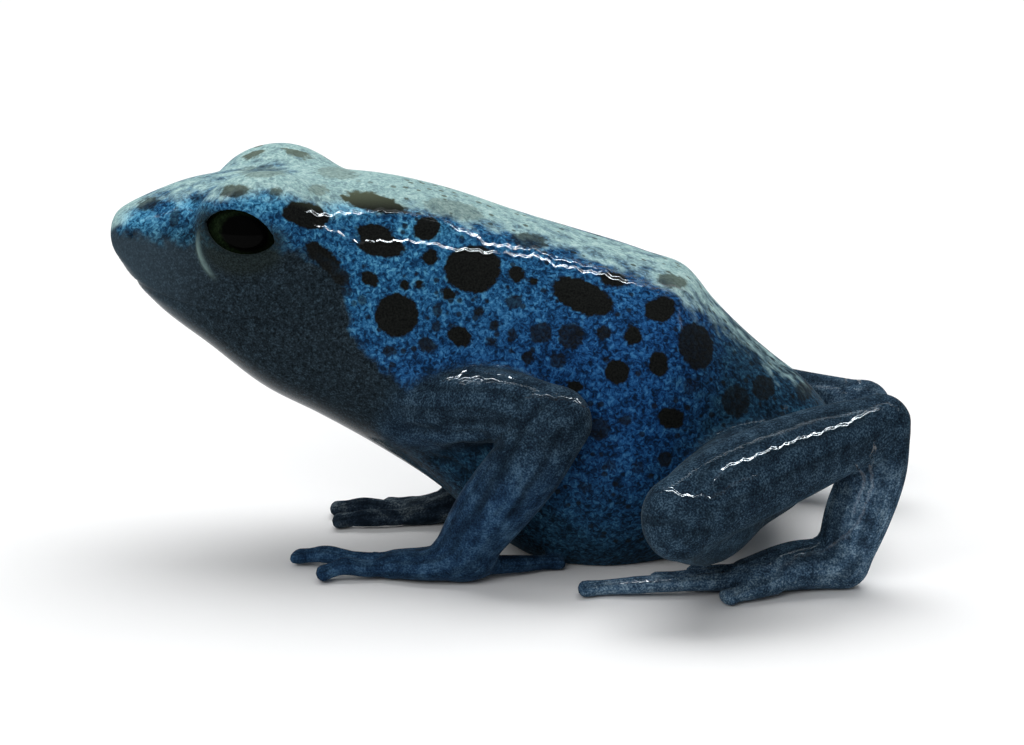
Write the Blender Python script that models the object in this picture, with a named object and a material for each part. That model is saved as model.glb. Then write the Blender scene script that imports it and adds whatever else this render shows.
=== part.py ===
"""Blue poison dart frog, sitting alert with its chest raised: a still, life-size model.

Metres, +Z up, and the floor is z = 0.  The snout points to -X and the frog's left side faces -Y.
The sizes below are in millimetres and become metres where a shape is made.
"""

import math

import bmesh
import bpy
import numpy as np
from mathutils import Matrix, Vector

MM = 0.001

# The frame: how far the design's own origin lies from the middle of the finished frog's footprint.
CENTRE_X = -0.31
CENTRE_Y = 0.1

# Head and trunk: a straight axis falls from the snout to the vent, and the sections stand across it.
PITCH = math.radians(15.0)
SNOUT = Vector((-23.0, 0.0, 18.7))
LENGTH = 43.2
SNOUT_ROUND = 2.5
RUMP_ROUND = 3.4
BODY_SIDES = 44
HEAD_RINGS = 22
TRUNK_RINGS = 22
CAP_RINGS = 5
NECK = 14.4
GAP = 0.3

# Distance along the axis, top, bottom, half width, level of the widest point.
BODY = (
    (0.0, 0.9, -1.1, 2.6, -0.2),
    (1.4, 1.8, -2.05, 3.4, -0.2),
    (3.5, 3.3, -3.5, 4.6, -0.3),
    (7.5, 5.0, -5.2, 5.9, -0.9),
    (11.0, 6.0, -6.65, 6.6, -1.4),
    (14.5, 6.65, -7.4, 6.9, -1.7),
    (18.0, 6.8, -8.3, 7.1, -1.9),
    (22.0, 6.55, -9.6, 7.6, -2.4),
    (26.0, 6.35, -11.6, 8.3, -2.8),
    (30.0, 6.15, -12.4, 8.9, -3.0),
    (32.6, 5.9, -12.1, 8.6, -2.8),
    (34.6, 4.5, -11.2, 7.9, -2.6),
    (38.0, 2.65, -8.7, 6.3, -2.3),
    (41.0, 1.5, -5.4, 4.6, -1.6),
    (43.2, 0.9, -3.0, 3.6, -0.8),
)
BACK_SQUARENESS = 2.4
BELLY_SQUARENESS = 2.2

# Eyes, in the body's own (along, across, up).  The opening is oval, longer along the head.
EYE_AT = (7.9, 4.35, 2.55)
EYE_RADIUS = 2.25
EYE_OUTWARD = (-0.14, 0.97, 0.14)
LID_RADIUS = 2.85
MOUND_AT = (9.2, 4.2, 3.4)
MOUND_RADIUS = 2.88
MOUND_STRETCH = 1.25
MOUND_BLEND = 1.5
OPENING_LENGTH = 2.1
OPENING_HEIGHT = 1.2
OPENING_CORNER = 1.35

# Mouth line, nostrils and ear discs.
MOUTH_START = (1.6, -2.5)
MOUTH_END = (12.6, -1.3)
MOUTH_SAG = 0.35
LIP_GAP = 0.22
LIP_DEPTH = 0.5
NOSTRIL_AT = (1.5, 0.25)
NOSTRIL_RADIUS = 0.32
EAR_AT = (11.7, 0.4)
EAR_RADIUS = 1.05
EAR_RISE = 0.15
EAR_FLATNESS = 0.4

# Limbs: each row is x, y, z, half width, half height.  Left faces the viewer; y is as built.
LEFT_ARM = {
    "upper_arm": (
        (-5.6, -4.4, 9.4, 2.2, 2.5),
        (-3.2, -6.8, 9.7, 2.1, 2.3),
        (0.0, -9.0, 10.3, 1.9, 2.0),
        (3.0, -10.6, 10.0, 1.65, 1.8),
    ),
    "forearm": (
        (3.0, -10.6, 10.0, 1.65, 1.9),
        (1.2, -10.3, 7.2, 1.85, 2.1),
        (-0.9, -9.4, 4.2, 1.7, 2.0),
        (-2.5, -8.5, 1.6, 1.4, 1.6),
    ),
    "palm": (
        (-1.9, -8.5, 1.6, 1.5, 1.35),
        (-4.2, -8.1, 0.95, 1.8, 0.9),
        (-6.2, -7.7, 0.75, 1.5, 0.7),
    ),
    "fingers": (
        ((-1.4, -8.2, 0.9), (1.0, -7.0, 0.65), (3.1, -5.6, 0.4)),
        ((-4.8, -7.1, 0.75), (-6.4, -6.4, 0.55), (-8.0, -5.7, 0.4)),
        ((-5.6, -7.4, 0.8), (-8.6, -7.0, 0.75), (-10.5, -6.3, 0.85), (-12.2, -5.4, 0.4)),
        ((-5.6, -8.1, 0.8), (-7.8, -8.5, 0.7), (-9.2, -8.7, 0.85), (-10.5, -8.9, 0.4)),
    ),
}
RIGHT_ARM = {
    "upper_arm": (
        (-5.6, 4.4, 9.4, 2.2, 2.6),
        (-3.4, 6.8, 9.3, 2.1, 2.5),
        (-0.6, 9.0, 9.0, 1.9, 2.1),
        (1.8, 10.4, 8.6, 1.7, 1.9),
    ),
    "forearm": (
        (1.8, 10.4, 8.6, 1.7, 1.9),
        (0.4, 9.2, 6.0, 1.9, 2.1),
        (-1.2, 7.0, 3.8, 1.7, 1.8),
        (-2.7, 4.9, 1.8, 1.4, 1.5),
    ),
    "palm": (
        (-2.1, 4.6, 1.5, 1.45, 1.2),
        (-4.2, 3.8, 0.9, 1.7, 0.85),
        (-6.0, 3.5, 0.65, 1.4, 0.6),
    ),
    "fingers": (
        ((-2.0, 4.4, 0.8), (-1.6, 5.6, 0.6), (-0.9, 6.8, 0.4)),
        ((-5.0, 3.0, 0.65), (-7.0, 2.3, 0.6), (-8.9, 2.0, 0.6), (-10.6, 2.0, 0.4)),
        ((-5.4, 3.9, 0.65), (-7.6, 4.3, 0.6), (-9.4, 4.6, 0.6), (-10.9, 4.6, 0.4)),
        ((-4.8, 4.5, 0.65), (-6.4, 5.3, 0.55), (-7.9, 5.8, 0.4)),
    ),
}
LEFT_LEG = {
    "thigh": (
        (14.6, -3.2, 5.7, 2.7, 3.1),
        (13.0, -7.2, 5.6, 2.5, 3.0),
        (11.2, -12.0, 5.4, 2.5, 3.1),
        (9.7, -16.2, 6.0, 2.0, 2.3),
    ),
    "shank": (
        (9.7, -16.2, 6.1, 1.9, 2.2),
        (12.2, -14.6, 7.25, 2.2, 2.45),
        (16.4, -11.6, 8.5, 2.0, 2.35),
        (20.8, -8.6, 9.45, 1.5, 1.65),
    ),
    "tarsus": (
        (20.8, -8.6, 9.45, 1.5, 1.65),
        (20.5, -8.7, 7.0, 1.5, 1.8),
        (19.6, -8.7, 4.2, 1.4, 1.85),
        (18.8, -8.7, 1.5, 1.25, 1.5),
    ),
    "sole": (
        (18.8, -8.7, 1.4, 1.25, 1.4),
        (16.2, -9.2, 1.4, 1.6, 1.35),
        (13.6, -10.1, 1.0, 1.6, 0.95),
    ),
    "toes": (
        ((15.2, -9.2, 0.8), (13.6, -7.9, 0.6), (12.5, -7.0, 0.4)),
        ((14.6, -9.2, 0.8), (12.2, -8.1, 0.6), (10.1, -7.4, 0.4)),
        ((14.2, -9.7, 0.8), (11.0, -9.3, 0.7), (8.0, -9.1, 0.4)),
        ((14.2, -10.3, 0.8), (10.6, -10.7, 0.8), (7.2, -10.9, 0.65), (4.1, -11.0, 0.4)),
        ((15.0, -10.9, 0.8), (13.4, -11.8, 0.6), (12.2, -12.4, 0.4)),
    ),
}
RIGHT_LEG = {
    "thigh": (
        (14.8, 3.2, 5.6, 2.8, 3.2),
        (13.6, 7.2, 5.5, 2.8, 3.1),
        (11.8, 12.2, 5.3, 2.5, 2.7),
        (9.8, 16.4, 5.0, 1.9, 2.1),
    ),
    "shank": (
        (9.8, 16.4, 5.0, 1.9, 2.1),
        (12.6, 14.8, 5.1, 2.2, 2.3),
        (16.6, 12.0, 5.3, 2.0, 2.0),
        (20.6, 9.2, 5.8, 1.5, 1.55),
    ),
    "tarsus": (
        (20.6, 9.2, 5.8, 1.5, 1.55),
        (19.4, 9.5, 4.4, 1.5, 1.5),
        (17.4, 10.0, 2.8, 1.35, 1.4),
        (15.0, 10.6, 1.5, 1.2, 1.2),
    ),
    "sole": (
        (15.0, 10.6, 1.3, 1.25, 1.2),
        (12.4, 11.2, 1.0, 1.6, 0.95),
        (9.8, 11.7, 0.8, 1.6, 0.75),
    ),
    "toes": (
        ((11.6, 10.6, 0.8), (9.9, 9.6, 0.6), (8.6, 8.9, 0.4)),
        ((11.2, 10.9, 0.8), (8.7, 10.0, 0.6), (6.2, 9.5, 0.4)),
        ((11.0, 11.4, 0.8), (7.7, 11.3, 0.7), (4.0, 11.2, 0.4)),
        ((11.0, 11.8, 0.8), (7.2, 12.6, 0.8), (3.6, 13.2, 0.65), (0.4, 13.6, 0.4)),
        ((11.8, 12.3, 0.8), (9.9, 13.5, 0.6), (8.2, 14.4, 0.4)),
    ),
}
DIGIT = (0.56, 0.48)
DISC = (0.82, 0.42)
DISC_LENGTH = 0.9
DIGIT_ROOT = 1.15
DIGIT_NECK = 0.85
LIMB_SIDES = 14
DIGIT_SIDES = 8
SPAN_RINGS = 3
CAP_ANGLES = np.radians((36.0, 68.0))

# Colours as the photograph shows them, in linear light.
BLUE_SKIN = (0.020, 0.110, 0.290, 1.0)
LIMB_SKIN = (0.012, 0.030, 0.062, 1.0)
EYE_BLACK = (0.004, 0.004, 0.003, 1.0)


def clear_scene():
    for old in list(bpy.data.objects):
        bpy.data.objects.remove(old)


def body_point(along, across, up):
    """A place in the body's own directions, as design coordinates in millimetres."""
    return SNOUT + Vector(
        (
            math.cos(PITCH) * along + math.sin(PITCH) * up,
            across,
            -math.sin(PITCH) * along + math.cos(PITCH) * up,
        )
    )


def body_direction(along, across, up):
    return (body_point(along, across, up) - SNOUT).normalized()


def smooth(knots, values, at):
    """Cubic Hermite curve through the values, with slopes taken from the neighbours on both sides."""
    knots, values, at = (np.asarray(a, float) for a in (knots, values, at))
    slope = np.gradient(values, knots, axis=0)
    k = np.clip(np.searchsorted(knots, at, side="right") - 1, 0, len(knots) - 2)
    span = knots[k + 1] - knots[k]
    t = (at - knots[k]) / span
    if values.ndim > 1:
        t, span = t[:, None], span[:, None]
    a, b, m, n = values[k], values[k + 1], slope[k] * span, slope[k + 1] * span
    return (
        a * (2 * t**3 - 3 * t**2 + 1)
        + m * (t**3 - 2 * t**2 + t)
        + b * (3 * t**2 - 2 * t**3)
        + n * (t**3 - t**2)
    )


def end_rounding(along):
    """How much of a section's full size remains this near the snout or the rump."""
    front = np.clip(along / SNOUT_ROUND, 0, 1)
    rear = np.clip((LENGTH - along) / RUMP_ROUND, 0, 1)
    return (1 - (1 - front) ** 3) ** (1 / 3) * (1 - (1 - rear) ** 2.2) ** (1 / 2.2)


def section(along):
    """Top, bottom, half width and level of the body's section, rounded off at both ends."""
    table = np.array(BODY)
    top, bottom, wide, level = smooth(table[:, 0], table[:, 1:], np.atleast_1d(along)).T
    left = end_rounding(np.atleast_1d(along))
    return level + (top - level) * left, level + (bottom - level) * left, wide * left, level


def flank(along, up):
    """Half width of the body at this height, by the same superellipse as its rings."""
    top, bottom, wide, level = (float(v[0]) for v in section(along))
    reach = (top if up > level else bottom) - level
    power = BACK_SQUARENESS if up > level else BELLY_SQUARENESS
    return wide * max(0.0, 1 - abs((up - level) / reach) ** power) ** (1 / power)


def soft_max(a, b, blend):
    """The larger of the two, rounded over where they are within the blend of each other."""
    t = np.clip(0.5 + 0.5 * (a - b) / blend, 0, 1)
    return b + (a - b) * t + blend * t * (1 - t)


def ring_places():
    """Distances along the axis: close together over both rounded ends and the head."""
    quarter = np.linspace(0, math.pi / 2, CAP_RINGS + 1)[1:]
    front = SNOUT_ROUND * (1 - np.cos(quarter))
    head = np.linspace(SNOUT_ROUND, NECK, HEAD_RINGS)[1:]
    trunk = np.linspace(NECK, LENGTH - RUMP_ROUND, TRUNK_RINGS)[1:]
    rear = LENGTH - RUMP_ROUND * (1 - np.cos(quarter[::-1]))[1:]
    return np.concatenate([front, head, trunk, rear])


def push_out(points, centre, radius):
    """Moves points inside a ball, stretched along the body, out to its surface with a soft shoulder."""
    stretch = np.array((MOUND_STRETCH, 1.0, 1.0))
    away = (points - np.array(centre)) / stretch
    far = np.linalg.norm(away, axis=-1, keepdims=True)
    return np.array(centre) + away / far * soft_max(far, radius, MOUND_BLEND) * stretch


def body_rings():
    """The head and trunk as rings of points: superellipses across the axis, with a mound for each eye."""
    along = ring_places()
    turn = np.linspace(0, 2 * math.pi, BODY_SIDES, endpoint=False)[None, :]
    top, bottom, wide, level = (v[:, None] for v in section(along))
    power = np.where(np.sin(turn) > 0, BACK_SQUARENESS, BELLY_SQUARENESS)
    across = wide * np.sign(np.cos(turn)) * np.abs(np.cos(turn)) ** (2 / power)
    reach = np.where(np.sin(turn) > 0, top - level, level - bottom)
    up = level + reach * np.sign(np.sin(turn)) * np.abs(np.sin(turn)) ** (2 / power)
    own = np.stack([along[:, None] + 0 * across, across, up], -1)
    for side in (-1, 1):
        own = push_out(own, (MOUND_AT[0], side * MOUND_AT[1], MOUND_AT[2]), MOUND_RADIUS)
    x = math.cos(PITCH) * own[..., 0] + math.sin(PITCH) * own[..., 2]
    z = -math.sin(PITCH) * own[..., 0] + math.cos(PITCH) * own[..., 2]
    return np.stack([x, own[..., 1], z], -1) + np.array(SNOUT)


def shell(name, rings, first, last):
    """A closed mesh object over rings of points, with a fan of faces to a point at each end."""
    mesh = bmesh.new()
    rows = [[mesh.verts.new(Vector(p) * MM) for p in ring] for ring in rings]
    start, end = mesh.verts.new(Vector(first) * MM), mesh.verts.new(Vector(last) * MM)
    count = len(rows[0])
    for i in range(count):
        j = (i + 1) % count
        mesh.faces.new((start, rows[0][i], rows[0][j]))
        mesh.faces.new((end, rows[-1][j], rows[-1][i]))
        for near, far in zip(rows, rows[1:]):
            mesh.faces.new((near[i], far[i], far[j], near[j]))
    bmesh.ops.recalc_face_normals(mesh, faces=mesh.faces)
    data = bpy.data.meshes.new(name)
    mesh.to_mesh(data)
    mesh.free()
    obj = bpy.data.objects.new(name, data)
    bpy.context.collection.objects.link(obj)
    return obj


def body(name):
    level = section(0.0)[3][0], section(LENGTH)[3][0]
    rings = body_rings()
    return shell(name, rings, body_point(0, 0, level[0]), body_point(LENGTH, 0, level[1]))


def with_round_ends(centres, ways, sizes):
    """Adds shrinking rings beyond both ends of a tube, and gives the two tips of its half balls."""
    tips = []
    for end in (0, -1):
        reach = (1 if end else -1) * sizes[end].min() * ways[end]
        more = centres[end] + np.outer(np.sin(CAP_ANGLES), reach)
        less = np.outer(np.cos(CAP_ANGLES), sizes[end])
        same = np.repeat(ways[end][None], len(more), axis=0)
        tips.append(centres[end] + reach)
        if end:
            centres, sizes, ways = (
                np.concatenate(pair) for pair in ((centres, more), (sizes, less), (ways, same))
            )
        else:
            centres, sizes, ways = (
                np.concatenate(pair)
                for pair in ((more[::-1], centres), (less[::-1], sizes), (same, ways))
            )
    return centres, ways, sizes, tips


def tube(name, rows, sides, over=(0, 0, 1)):
    """A limb: oval rings square to a smooth path through the rows, with both ends rounded."""
    rows = np.array(rows, float)
    steps = np.linalg.norm(np.diff(rows[:, :3], axis=0), axis=1)
    knots = np.concatenate([[0], np.cumsum(steps)])
    at = np.linspace(0, knots[-1], SPAN_RINGS * (len(rows) - 1) + 1)
    line = smooth(knots, rows, at)
    ways = np.gradient(line[:, :3], at, axis=0)
    ways /= np.linalg.norm(ways, axis=1, keepdims=True)
    # The flat sides touch the true oval from outside, so a many-sided skin over them never pokes through.
    outside = line[:, 3:] / math.cos(math.pi / sides)
    centres, ways, sizes, tips = with_round_ends(line[:, :3], ways, outside)
    across = np.cross(over, ways)
    across /= np.linalg.norm(across, axis=1, keepdims=True)
    above = np.cross(ways, across)
    turn = np.linspace(0, 2 * math.pi, sides, endpoint=False)[None, :, None]
    rings = (
        centres[:, None]
        + np.cos(turn) * (sizes[:, :1] * across)[:, None]
        + np.sin(turn) * (sizes[:, 1:] * above)[:, None]
    )
    return shell(name, rings, *tips)


def digit(name, points):
    """A finger or toe: a thin tube that narrows, then spreads into the flat disc at its tip."""
    root, *middle, tip = [Vector(p) for p in points]
    back = middle[-1] - tip
    disc = min(DISC_LENGTH, back.length * 0.45)
    back.normalize()
    rows = [(*root, DIGIT[0] * DIGIT_ROOT, DIGIT[1] * DIGIT_ROOT)]
    rows += [(*p, *DIGIT) for p in middle]
    rows.append((*(tip + back * disc * 1.5), DIGIT[0] * DIGIT_NECK, DISC[1]))
    rows.append((*(tip + back * disc * 0.5), *DISC))
    return tube(name, rows, DIGIT_SIDES)


def ball(name, centre, radius, outward=(0, 0, 1), flatness=1.0, segments=20, rings=12):
    """A ball, or a disc where flatness is small, with its poles along the outward direction."""
    mesh = bmesh.new()
    turn = Vector((0, 0, 1)).rotation_difference(Vector(outward)).to_matrix().to_4x4()
    place = Matrix.Translation(Vector(centre) * MM) @ turn
    size = Matrix.Diagonal((radius * MM, radius * MM, radius * flatness * MM, 1))
    bmesh.ops.create_uvsphere(
        mesh, u_segments=segments, v_segments=rings, radius=1.0, matrix=place @ size
    )
    data = bpy.data.meshes.new(name)
    mesh.to_mesh(data)
    mesh.free()
    obj = bpy.data.objects.new(name, data)
    bpy.context.collection.objects.link(obj)
    return obj


def grow(obj, distance):
    """Moves every point out along its normal, or in where the distance is negative."""
    moves = [v.normal * distance * MM for v in obj.data.vertices]
    for vertex, move in zip(obj.data.vertices, moves):
        vertex.co += move
    return obj


def copy_of(obj, distance=0.0):
    twin = bpy.data.objects.new(obj.name + "_copy", obj.data.copy())
    bpy.context.collection.objects.link(twin)
    return grow(twin, distance)


def cut(obj, point, inward):
    """Keeps the side of the plane that inward points to, and closes the cut with a flat face."""
    mesh = bmesh.new()
    mesh.from_mesh(obj.data)
    everything = mesh.verts[:] + mesh.edges[:] + mesh.faces[:]
    bmesh.ops.bisect_plane(
        mesh,
        geom=everything,
        dist=1e-8,
        plane_co=Vector(point) * MM,
        plane_no=Vector(inward),
        clear_inner=True,
    )
    open_edges = [e for e in mesh.edges if e.is_boundary]
    if open_edges:
        bmesh.ops.holes_fill(mesh, edges=open_edges, sides=0)
    mesh.to_mesh(obj.data)
    mesh.free()
    return obj


def boolean(obj, pieces, operation, solver="EXACT"):
    """Joins the pieces to the object, or cuts them from it, in one Boolean on their collection."""
    group = bpy.data.collections.new("pieces")
    for piece in pieces:
        group.objects.link(piece)
    change = obj.modifiers.new(operation.title(), "BOOLEAN")
    change.operation = operation
    change.operand_type = "COLLECTION"
    change.collection = group
    change.solver = solver
    graph = bpy.context.evaluated_depsgraph_get()
    made = bpy.data.meshes.new_from_object(obj.evaluated_get(graph))
    obj.modifiers.clear()
    obj.data = made
    for piece in pieces:
        bpy.data.objects.remove(piece)
    bpy.data.collections.remove(group)
    keep_largest(obj)
    return obj


def keep_largest(obj):
    """Leaves only the largest closed surface of the object."""
    mesh = bmesh.new()
    mesh.from_mesh(obj.data)
    unseen, groups = set(mesh.verts), []
    while unseen:
        front = [unseen.pop()]
        group = set(front)
        while front:
            near = {e.other_vert(v) for v in front for e in v.link_edges} - group
            group |= near
            front = list(near)
        unseen -= group
        groups.append(group)
    groups.sort(key=len)
    loose = [v for group in groups[:-1] for v in group]
    bmesh.ops.delete(mesh, geom=loose, context="VERTS")
    mesh.to_mesh(obj.data)
    mesh.free()


def eye_frame(side):
    """The eyeball's centre and its outward, forward and upward directions, in design coordinates."""
    outward = body_direction(EYE_OUTWARD[0], side * EYE_OUTWARD[1], EYE_OUTWARD[2])
    forward = body_direction(-1, 0, 0)
    forward = (forward - forward.dot(outward) * outward).normalized()
    upward = outward.cross(forward)
    if upward.z < 0:
        upward.negate()
    centre = body_point(EYE_AT[0], side * EYE_AT[1], EYE_AT[2])
    return centre, outward, forward, upward


def eye(name, side):
    centre, outward, _, _ = eye_frame(side)
    return ball(name, centre, EYE_RADIUS, outward)


def eye_opening(side):
    """A short oval bar, pointed at both corners, that cuts the gap between the lids."""
    centre, outward, forward, upward = eye_frame(side)
    turn = np.linspace(0, 2 * math.pi, 24, endpoint=False)
    ahead = OPENING_LENGTH * np.cos(turn)
    above = OPENING_HEIGHT * np.sign(np.sin(turn)) * np.abs(np.sin(turn)) ** OPENING_CORNER
    rings = [
        [centre + outward * out + forward * a + upward * b for a, b in zip(ahead, above)]
        for out in (0.5, LID_RADIUS + 1)
    ]
    return shell("opening", rings, centre + outward * 0.5, centre + outward * (LID_RADIUS + 1))


def mouth_cutter():
    """A thin sheet along the lip line, less the body shrunk by the groove's depth."""
    along = np.linspace(MOUTH_START[0] - 5, MOUTH_END[0], 10)
    share = (along - MOUTH_START[0]) / (MOUTH_END[0] - MOUTH_START[0])
    level = MOUTH_START[1] + (MOUTH_END[1] - MOUTH_START[1]) * share
    level -= MOUTH_SAG * np.sin(math.pi * np.clip(share, 0, 1))
    reach, half = 12.0, LIP_GAP / 2
    corners = ((-reach, -half), (reach, -half), (reach, half), (-reach, half))
    rings = [[body_point(a, y, h + up) for y, up in corners] for a, h in zip(along, level)]
    first = body_point(along[0], 0, level[0])
    last = body_point(along[-1], 0, level[-1])
    sheet = shell("lip_line", rings, first, last)
    return boolean(sheet, [grow(body("inner"), -LIP_DEPTH)], "DIFFERENCE")


def head():
    """The body ahead of the neck, with lids and ear discs joined on, and eyes, lips and nostrils cut."""
    obj = cut(body("head"), body_point(NECK - GAP / 2, 0, 0), body_direction(-1, 0, 0))
    extras, cutters = [], [mouth_cutter()]
    for side in (-1, 1):
        centre, outward, _, _ = eye_frame(side)
        extras.append(ball("lids", centre, LID_RADIUS, outward, segments=24, rings=16))
        wide = side * (flank(*EAR_AT) - EAR_RADIUS * EAR_FLATNESS + EAR_RISE)
        place = body_point(EAR_AT[0], wide, EAR_AT[1])
        way = body_direction(0.05, side, -0.1)
        extras.append(ball("ear", place, EAR_RADIUS, way, EAR_FLATNESS, 16, 8))
        cutters.append(eye_opening(side))
        cutters.append(ball("socket", centre, EYE_RADIUS + GAP, outward, segments=24, rings=14))
        place = body_point(NOSTRIL_AT[0], side * flank(*NOSTRIL_AT), NOSTRIL_AT[1])
        cutters.append(ball("nostril", place, NOSTRIL_RADIUS, segments=8, rings=6))
    boolean(obj, extras, "UNION")
    for cutter in cutters:
        boolean(obj, [cutter], "DIFFERENCE")
    return obj


def torso():
    obj = cut(body("torso"), body_point(NECK + GAP / 2, 0, 0), body_direction(1, 0, 0))
    return cut(obj, (0, 0, 0), (0, 0, 1))


def part_at_joint(near, far, joint, before, after):
    """Parts two limb pieces that meet at a joint along the plane that halves the angle there."""
    joint, before, after = Vector(joint), Vector(before), Vector(after)
    way = ((after - joint).normalized() - (before - joint).normalized()).normalized()
    cut(near, joint - way * GAP / 2, -way)
    if far:
        cut(far, joint + way * GAP / 2, way)


def extremity(name, palm, digits, limb_end):
    """A hand or foot, clear of the limb that ends in it and flat where it rests on the floor."""
    obj = tube(name, palm, LIMB_SIDES)
    boolean(obj, [digit("digit", points) for points in digits], "UNION")
    boolean(obj, [copy_of(limb_end, GAP)], "DIFFERENCE")
    cut(obj, (0, 0, 0), (0, 0, 1))
    keep_largest(obj)
    return obj


def limb(rows, names, side_name, steep):
    """The pieces of one limb in order, parted at each joint; the last is the hand or foot."""
    pieces = []
    for name in names[:-2]:
        over = (-1, 0, 0) if name in steep else (0, 0, 1)
        pieces.append(tube(f"{name}_{side_name}", rows[name], LIMB_SIDES, over))
    for i, (near, far) in enumerate(zip(pieces, pieces[1:])):
        joint = rows[names[i]][-1][:3]
        part_at_joint(near, far, joint, rows[names[i]][-2][:3], rows[names[i + 1]][1][:3])
    wrist, before, after = rows[names[-3]][-1][:3], rows[names[-3]][-2][:3], rows[names[-2]][1][:3]
    part_at_joint(pieces[-1], None, wrist, before, after)
    end = {"palm": "hand", "sole": "foot"}[names[-2]]
    palm, digits = rows[names[-2]], rows[names[-1]]
    pieces.append(extremity(f"{end}_{side_name}", palm, digits, pieces[-1]))
    return pieces


def finish(name, colour, roughness):
    material = bpy.data.materials.new(name)
    material.use_nodes = True
    shader = material.node_tree.nodes["Principled BSDF"]
    shader.inputs["Base Color"].default_value = colour
    shader.inputs["Roughness"].default_value = roughness
    shader.inputs["Coat Weight"].default_value = 0.5
    return material


def main():
    clear_scene()
    frog = bpy.data.objects.new("frog", None)
    bpy.context.collection.objects.link(frog)
    frog.location = Vector((-CENTRE_X, -CENTRE_Y, 0)) * MM
    blue, dark = finish("blue_skin", BLUE_SKIN, 0.35), finish("limb_skin", LIMB_SKIN, 0.30)
    black = finish("eye_black", EYE_BLACK, 0.05)

    nodes = [(head(), blue), (torso(), blue)]
    nodes += [(eye("eye_left", -1), black), (eye("eye_right", 1), black)]
    for side_name, arm, leg in (("left", LEFT_ARM, LEFT_LEG), ("right", RIGHT_ARM, RIGHT_LEG)):
        arm_pieces = limb(arm, ("upper_arm", "forearm", "palm", "fingers"), side_name, {"forearm"})
        leg_pieces = limb(leg, ("thigh", "shank", "tarsus", "sole", "toes"), side_name, {"tarsus"})
        for piece in arm_pieces + leg_pieces[:1]:
            boolean(piece, [grow(body("trunk"), GAP)], "DIFFERENCE")
        nodes += [(piece, dark) for piece in arm_pieces + leg_pieces]

    for obj, material in nodes:
        obj.data.materials.clear()
        obj.data.materials.append(material)
        obj.data.shade_smooth()
        obj.data.set_sharp_from_angle(angle=math.radians(50))
        obj.parent = frog


main()
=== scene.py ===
"""The finished look of the blue poison dart frog: one seamless skin and two eyeballs over the frame.

The skin is an implicit surface.  Functions below give, for any point in space, how far it lies
outside the body, a limb or a digit; a smooth union joins them, and a grid of cells where the joint
function changes sign becomes the skin, whose points are then moved exactly onto the surface.
Design coordinates are millimetres: -X towards the snout, -Y the frog's left side, z = 0 the floor.
"""

import itertools
import math

import bmesh
import bpy
import numpy as np
from mathutils import Matrix, Vector

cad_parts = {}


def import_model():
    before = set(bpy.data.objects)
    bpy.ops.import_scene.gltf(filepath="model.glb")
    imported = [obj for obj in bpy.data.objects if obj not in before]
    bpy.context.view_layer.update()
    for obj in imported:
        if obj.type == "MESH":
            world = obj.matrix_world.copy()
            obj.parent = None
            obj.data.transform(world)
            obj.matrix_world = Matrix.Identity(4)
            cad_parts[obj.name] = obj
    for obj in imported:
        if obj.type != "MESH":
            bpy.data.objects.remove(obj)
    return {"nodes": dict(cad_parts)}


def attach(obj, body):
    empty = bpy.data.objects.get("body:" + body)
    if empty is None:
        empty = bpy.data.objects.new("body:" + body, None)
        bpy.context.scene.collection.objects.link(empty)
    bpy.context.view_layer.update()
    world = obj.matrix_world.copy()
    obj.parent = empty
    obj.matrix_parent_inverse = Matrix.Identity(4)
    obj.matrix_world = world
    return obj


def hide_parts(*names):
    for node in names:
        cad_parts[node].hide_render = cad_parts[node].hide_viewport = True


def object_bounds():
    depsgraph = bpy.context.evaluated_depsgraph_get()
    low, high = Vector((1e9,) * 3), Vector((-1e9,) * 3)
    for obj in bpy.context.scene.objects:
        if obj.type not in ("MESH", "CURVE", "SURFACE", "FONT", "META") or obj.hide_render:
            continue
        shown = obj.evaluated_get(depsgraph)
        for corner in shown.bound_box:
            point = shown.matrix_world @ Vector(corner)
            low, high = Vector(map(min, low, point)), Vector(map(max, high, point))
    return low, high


MM = 0.001
MM_PER_CM = 10
CENTRE = np.array((-0.31, 0.1, 0.0))

# Head and trunk: a straight axis falls from the snout to the vent, and the sections stand across it.
PITCH = math.radians(15.0)
SNOUT = np.array((-23.0, 0.0, 18.7))
LENGTH = 43.2
SNOUT_ROUND = 2.5
RUMP_ROUND = 3.4
BODY = (
    (0.0, 0.9, -1.1, 2.6, -0.2), (1.4, 1.8, -2.05, 3.4, -0.2), (3.5, 3.3, -3.5, 4.6, -0.3),
    (7.5, 5.0, -5.2, 5.9, -0.9), (11.0, 6.0, -6.65, 6.6, -1.4), (14.5, 6.65, -7.4, 6.9, -1.7),
    (18.0, 6.8, -8.3, 7.1, -1.9), (22.0, 6.55, -9.6, 7.6, -2.4), (26.0, 6.35, -11.6, 8.3, -2.8),
    (30.0, 6.15, -12.4, 8.9, -3.0), (32.6, 5.9, -12.1, 8.6, -2.8), (34.6, 4.5, -11.2, 7.9, -2.6),
    (38.0, 2.65, -8.7, 6.3, -2.3), (41.0, 1.5, -5.4, 4.6, -1.6), (43.2, 0.9, -3.0, 3.6, -0.8),
)
BACK_SQUARENESS = 2.4
BELLY_SQUARENESS = 2.2
SNOUT_POWER = 3
RUMP_POWER = 2.2

# What keeps a point on the axis itself from being divided by nothing.
AXIS_REACH = 0.01
AXIS_RADIUS = 0.002
PATH_REACH = 1e-4

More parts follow.
